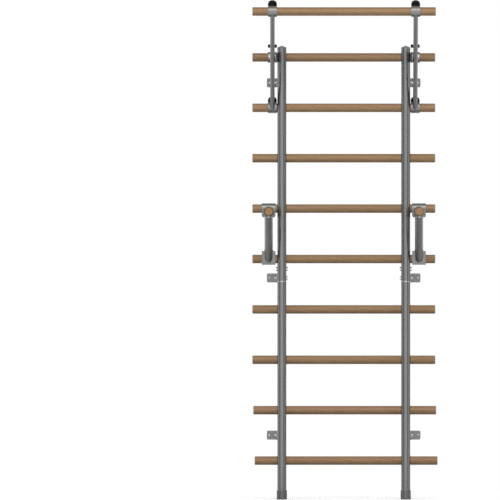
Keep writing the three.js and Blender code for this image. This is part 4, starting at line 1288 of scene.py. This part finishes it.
def knob_surfaces():
    """Head and cone in plastic, stud in zinc: r = R(v) - depth w(v) (1 - cos 10u) / 2, z = height(v)."""
    dish = KNOB_END - KNOB_DISH
    corners = [(0, dish), (KNOB_RADIUS - DISH_INSETS[0], dish), (KNOB_RADIUS - DISH_INSETS[1], KNOB_END),
               (KNOB_RADIUS, KNOB_END), (KNOB_RADIUS, KNOB_START), (KNOB_HUB, KNOB_START),
               (STUD_RADIUS + CONE_GROWTH, CONE_FOOT), (0, CONE_FOOT)]
    radius, height = soft_corners(corners, KNOB_ROUNDING, KNOB_ROUND_STEPS).T[:, :, None]
    depth = FLUTE_DEPTH * np.clip((radius - KNOB_RADIUS + FLUTE_BAND) / FLUTE_BAND, 0, 1)
    fluted = radius - depth * (1 - np.cos(FLUTES * round_turn(KNOB_COLUMNS))) / 2
    foot = RUNG_RADIUS + HOLE_FIT
    stud = rod(STUD_RADIUS, CONE_FOOT + STUD_IN_CONE - foot, STUD_EDGE, STUD_COLUMNS).laid((0, 0, foot))
    return [Surface(turned((fluted, height), KNOB_COLUMNS), False, True), stud._replace(finish=1)]


LEANING = np.array([[1, 0, 0], -ARM_AXES[2], ARM_AXES[1]])
KNOBS = {
    "arm_knob": (arm_foot, LEANING),
    "bar_knob": (arm_head, LEANING),
    "strut_knob": (TOP_RUNG, np.eye(3)),
}
for hand, side in SIDES:
    for knob, (middle, axes) in KNOBS.items():
        node = f"{knob}_{hand}"
        surfaces = [item.laid((side * ARM_X, *middle), axes) for item in knob_surfaces()]
        make_piece(node, surfaces, [black_plastic, zinc], node)
print("knobs:", pieces_made[-6:])

# %% [markdown]
# ## Dip bars
# Each dip bar is a welded bracket that hooks over one rung and rests against the rung below. A bent plate
# makes the hook, a channel makes the saddle, a short sleeve with an open trough holds the wooden grip, and
# a post and a slanted brace carry the load down. Plates are strips carried along a path and given 4 mm by
# Solidify.

# %% Hook and saddle plates
HOOK_BORE = 19.5
HOOK_DROP = 39.0
HOOK_CORNER = 9.0
HOOK_STEPS = 48
CORNER_ROWS = 9
HOOK_COLUMNS = 9
SADDLE_ABOVE = 33.25
SADDLE_BELOW = 23.25
SADDLE_FRONT = 21.3
SADDLE_BACK = 18.0
SADDLE_BEND = 3.5
SADDLE_BEND_STEPS = 8
SADDLE_COLUMNS = 5
PLATE_EDGE = 0.6
RUNG_PITCH = RUNG_HEIGHTS[5] - RUNG_HEIGHTS[4]
DIP_WIDTH = node_box("dip_frame_left").size[0]
DIP_ORIGINS = {hand: (node_box(f"dip_frame_{hand}").middle[0], RUNG_Y, RUNG_HEIGHTS[5])
               for hand, side in SIDES}


def hook_plate(half):
    """Up one leg, over the rung in a half circle, down the other; the width narrows round the leg corners."""
    radius = HOOK_BORE + SHEET / 2
    over = math.pi * radius
    total = 2 * HOOK_DROP + over
    corner = HOOK_CORNER * (1 - np.cos(np.linspace(0, math.pi / 2, CORNER_ROWS)))
    middle = HOOK_DROP + np.linspace(0, over, HOOK_STEPS + 1)
    s = np.concatenate([corner, middle, total - corner[::-1]])[:, None]
    angle = np.clip((s - HOOK_DROP) / radius, 0, math.pi)
    drop = np.minimum(s - HOOK_DROP, 0) - np.maximum(s - HOOK_DROP - over, 0)
    near_end = np.clip(HOOK_CORNER - np.minimum(s, total - s), 0, HOOK_CORNER)
    width = half - HOOK_CORNER + np.sqrt(HOOK_CORNER ** 2 - near_end ** 2)
    x = width * np.linspace(-1, 1, HOOK_COLUMNS)
    return grid(x, radius * np.cos(angle), radius * np.sin(angle) + drop)


def saddle_plate(half):
    """A channel one rung below: forward along the top, down the front and back along the bottom."""
    corners = [(SADDLE_BACK, SADDLE_ABOVE), (-SADDLE_FRONT, SADDLE_ABOVE), (-SADDLE_FRONT, -SADDLE_BELOW),
               (SADDLE_BACK, -SADDLE_BELOW)]
    y, z = soft_corners(corners, [0, SADDLE_BEND, SADDLE_BEND, 0], SADDLE_BEND_STEPS).T[:, :, None]
    return grid(half * np.linspace(-1, 1, SADDLE_COLUMNS), y, z - RUNG_PITCH)


plates = [Surface(plate(DIP_WIDTH / 2)) for plate in (hook_plate, saddle_plate)]
for hand, origin in DIP_ORIGINS.items():
    skins = [plate.laid(origin) for plate in plates]
    make_piece(f"dip_frame_{hand}", skins, [coated_steel], f"dip_bar_{hand}",
               wall=Wall(SHEET, edge=PLATE_EDGE))
print("hook and saddle are", round(DIP_WIDTH, 2), "mm wide")

# %% [markdown]
# The sleeve is a tube round the grip. Beyond a slanted cut its upper half is missing, and a trough is left
# that carries the grip further out. So the tube is drawn as lines along it: the closed part's lines end on
# the slant, and the lines below the trough's edge go on to its tip. Its cut edge takes the black plastic
# finish as painted shade, the dark of the gap round the grip.

# %% Sleeve and trough
GRIP_DROP = 14.0
SLEEVE_RADIUS = 21.5
SLEEVE_WALL = 2.2
SLEEVE_ROUNDING = 0.4
SLEEVE_START = 23.4
SLEEVE_EDGE = 97.0
SLEEVE_SLANT = 14.0 / 27.5
SLEEVE_ROWS = 9
SLEEVE_STEPS = (8, 8, 32)
TROUGH_EDGE = 5.0
TROUGH_TIP = 15.0
TROUGH_NOSE = 14.0
TROUGH_PAST_SCREW = 10.0
TROUGH_END = RUNG_Y - node_box("dip_screw_left").middle[1] + TROUGH_PAST_SCREW


def sleeve_lines(angle, start, stop):
    """Lines along the tube at angles from its bottom, in equal shares from the start to each one's stop."""
    share = np.linspace(0, 1, SLEEVE_ROWS)[:, None]
    height = -SLEEVE_RADIUS * np.cos(angle)
    return grid(SLEEVE_RADIUS * np.sin(angle), -(start + share * (stop - start)), height - GRIP_DROP)


def sleeve_skins():
    """The closed part stops on the slant, stop = edge - slope * height over the trough. The trough goes on
    from the edge, and its own edge sinks at the tip."""
    tip, edge = (math.acos(level / SLEEVE_RADIUS) for level in (TROUGH_TIP, TROUGH_EDGE))
    bands = zip((0, tip, edge), (tip, edge, math.pi), SLEEVE_STEPS)
    half = np.concatenate([[0], *(np.linspace(low, high, steps + 1)[1:] for low, high, steps in bands)])
    whole = np.concatenate([-half[:0:-1], half[:-1]])
    below = whole[np.abs(whole) <= edge]
    slant = SLEEVE_EDGE - SLEEVE_SLANT * np.maximum(TROUGH_EDGE - SLEEVE_RADIUS * np.cos(whole), 0)
    sunk = np.clip((TROUGH_TIP - SLEEVE_RADIUS * np.cos(below)) / (TROUGH_TIP - TROUGH_EDGE), 0, 1)
    return [Surface(sleeve_lines(whole, SLEEVE_START, slant), False, True),
            Surface(sleeve_lines(below, SLEEVE_EDGE, TROUGH_END - TROUGH_NOSE * sunk))]


for hand, origin in DIP_ORIGINS.items():
    skins = [skin.laid(origin) for skin in sleeve_skins()]
    # The cut edge takes black plastic as painted shade.
    make_piece(f"dip_frame_{hand}", skins, [coated_steel, black_plastic], f"dip_bar_{hand}", part="_sleeve",
               wall=Wall(SLEEVE_WALL, INSIDE, SLEEVE_ROUNDING, rim=1))
print("trough ends", round(TROUGH_END, 1), "mm ahead of the rung axis")

# %% [markdown]
# The post stands upright between the brace and the sleeve, and the brace leans forward at 45 degrees. Both
# are round tubes whose ends are cut to what they meet. Each straight line along such a tube starts and
# stops at its own distance, worked out from the surface that it runs into, and the weld beads follow the
# same cuts.

# %% Post, brace and welds
POST_RADIUS = 18.25
POST_AHEAD = 52.5
BRACE_RADIUS = 17.0
BRACE_AHEAD = SADDLE_FRONT + SHEET / 2
BRACE_LIFT = 7.6
BRACE_DROP = RUNG_PITCH - BRACE_LIFT
WELD = 1.6
FINE_WELD = 0.9
TUBE_COLUMNS = 72
UP = (0, 0, 1)
BACK = (0, 1, 0)
SLOPE = math.sqrt(0.5)
BRACE_WAY = np.array([0, -SLOPE, SLOPE])
cos_u, sin_u = np.cos(round_turn(TUBE_COLUMNS)), np.sin(round_turn(TUBE_COLUMNS))


def under_sleeve(x):
    """Height of the sleeve's underside at a distance x from its middle plane."""
    return -GRIP_DROP - np.sqrt(np.maximum(SLEEVE_RADIUS ** 2 - x ** 2, 0))


def post_cuts():
    """Foot on the brace: z = axis height + sqrt(2) sqrt(R^2 - x^2); head under the sleeve."""
    x = POST_RADIUS * cos_u
    ahead = POST_AHEAD - POST_RADIUS * sin_u
    axis = ahead - BRACE_AHEAD - BRACE_DROP
    foot = axis + math.sqrt(2) * np.sqrt(np.maximum(BRACE_RADIUS ** 2 - x ** 2, 0))
    return grid(x, -ahead, foot), grid(x, -ahead, under_sleeve(x))


def brace_cuts():
    """Foot on the saddle's front, where the distance along is R sin u; head under the trough."""
    x = BRACE_RADIUS * cos_u
    lift = BRACE_RADIUS * sin_u
    stop = (under_sleeve(x) + BRACE_DROP) / SLOPE - lift
    base = grid(x, SLOPE * lift - BRACE_AHEAD, SLOPE * lift - BRACE_DROP)
    return base + lift[:, None] * BRACE_WAY, base + stop[:, None] * BRACE_WAY


def between(low_end, high_end):
    """A closed tube between two end loops, with a pole in the middle of each."""
    rows = np.broadcast_arrays(low_end.mean(axis=0), low_end, high_end, high_end.mean(axis=0))
    return Surface(np.stack(rows), False, True)


round_post = grid(cos_u, sin_u, 0)
round_brace = grid(cos_u, SLOPE * sin_u, SLOPE * sin_u)
round_sleeve = grid(cos_u, 0, sin_u)
post, brace = post_cuts(), brace_cuts()
sleeve_root = SLEEVE_RADIUS * round_sleeve + (0, -SLEEVE_START, -GRIP_DROP)
welded = [between(*post), between(*brace)]
welded += [bead(cut, round_post, UP, size) for cut, size in zip(post, (FINE_WELD, WELD))]
welded += [bead(cut, round_brace, BRACE_WAY, WELD) for cut in brace]
welded.append(bead(sleeve_root, round_sleeve, BACK, WELD))
for hand, origin in DIP_ORIGINS.items():
    make_piece(f"dip_frame_{hand}", [item.laid(origin) for item in welded], [coated_steel], f"dip_bar_{hand}",
               part="_legs")
    box = node_box(f"dip_screw_{hand}")
    seat = (*box.middle[:2], box.low[2] + SCREW_HEIGHT)
    screw = socket_screw(box.size[2]).laid(seat, np.diag([1, -1, -1]))
    make_piece(f"dip_screw_{hand}", [screw], [zinc], f"dip_bar_{hand}")
print("posts, braces and screws:", pieces_made[-4:])

# %% [markdown]
# ## Floor
# The floor is a pale disc that keeps the object's shadow. It thins out with distance, so that it melts into
# the white room with no visible edge. The camera sees it paler than mirrors and bounced light do, so that
# it stays white in the picture without brightening the steel from below. It is no part of the object, and
# rides on none of its bodies.

# %% Floor
FLOOR_RADIUS = 6.0
FLOOR_RINGS = 9
FLOOR_FADE = (1.0, 3.5)
SEEN_DARK, SEEN_PALE = even(1.17), even(1.23)
MIRRORED_FLOOR = even(0.65)
BOUNCED_FLOOR = even(0.45)
floor_material = bpy.data.materials.new("pale floor")
floor_material.use_nodes = True
bench = Bench(floor_material.node_tree)
spot = bench.add("ShaderNodeTexCoord").outputs["Object"]
distance = bench.add("ShaderNodeVectorMath", {0: spot}, operation="LENGTH").outputs["Value"]
seen = bench.mix(bench.noise(spot, 30.0, detail=3.0), SEEN_DARK, SEEN_PALE)
path = bench.add("ShaderNodeLightPath").outputs
shade = bench.mix(path["Is Glossy Ray"], BOUNCED_FLOOR, MIRRORED_FLOOR)
shade = bench.mix(path["Is Camera Ray"], shade, seen)
pale = bench.add("ShaderNodeBsdfDiffuse", {"Color": shade}).outputs[0]
clear = bench.add("ShaderNodeBsdfTransparent").outputs[0]
both = bench.add("ShaderNodeMixShader", {0: bench.spread(distance, *FLOOR_FADE), 1: pale, 2: clear})
bench.add("ShaderNodeOutputMaterial", {"Surface": both.outputs[0]})
disc = turned((np.linspace(0, FLOOR_RADIUS / MM, FLOOR_RINGS)[:, None], 0))
floor = bpy.data.objects.new("floor", make_mesh("floor", [Surface(disc, False, True)], [floor_material]))
scene.collection.objects.link(floor)
print("floor radius", FLOOR_RADIUS, "m")

# %% [markdown]
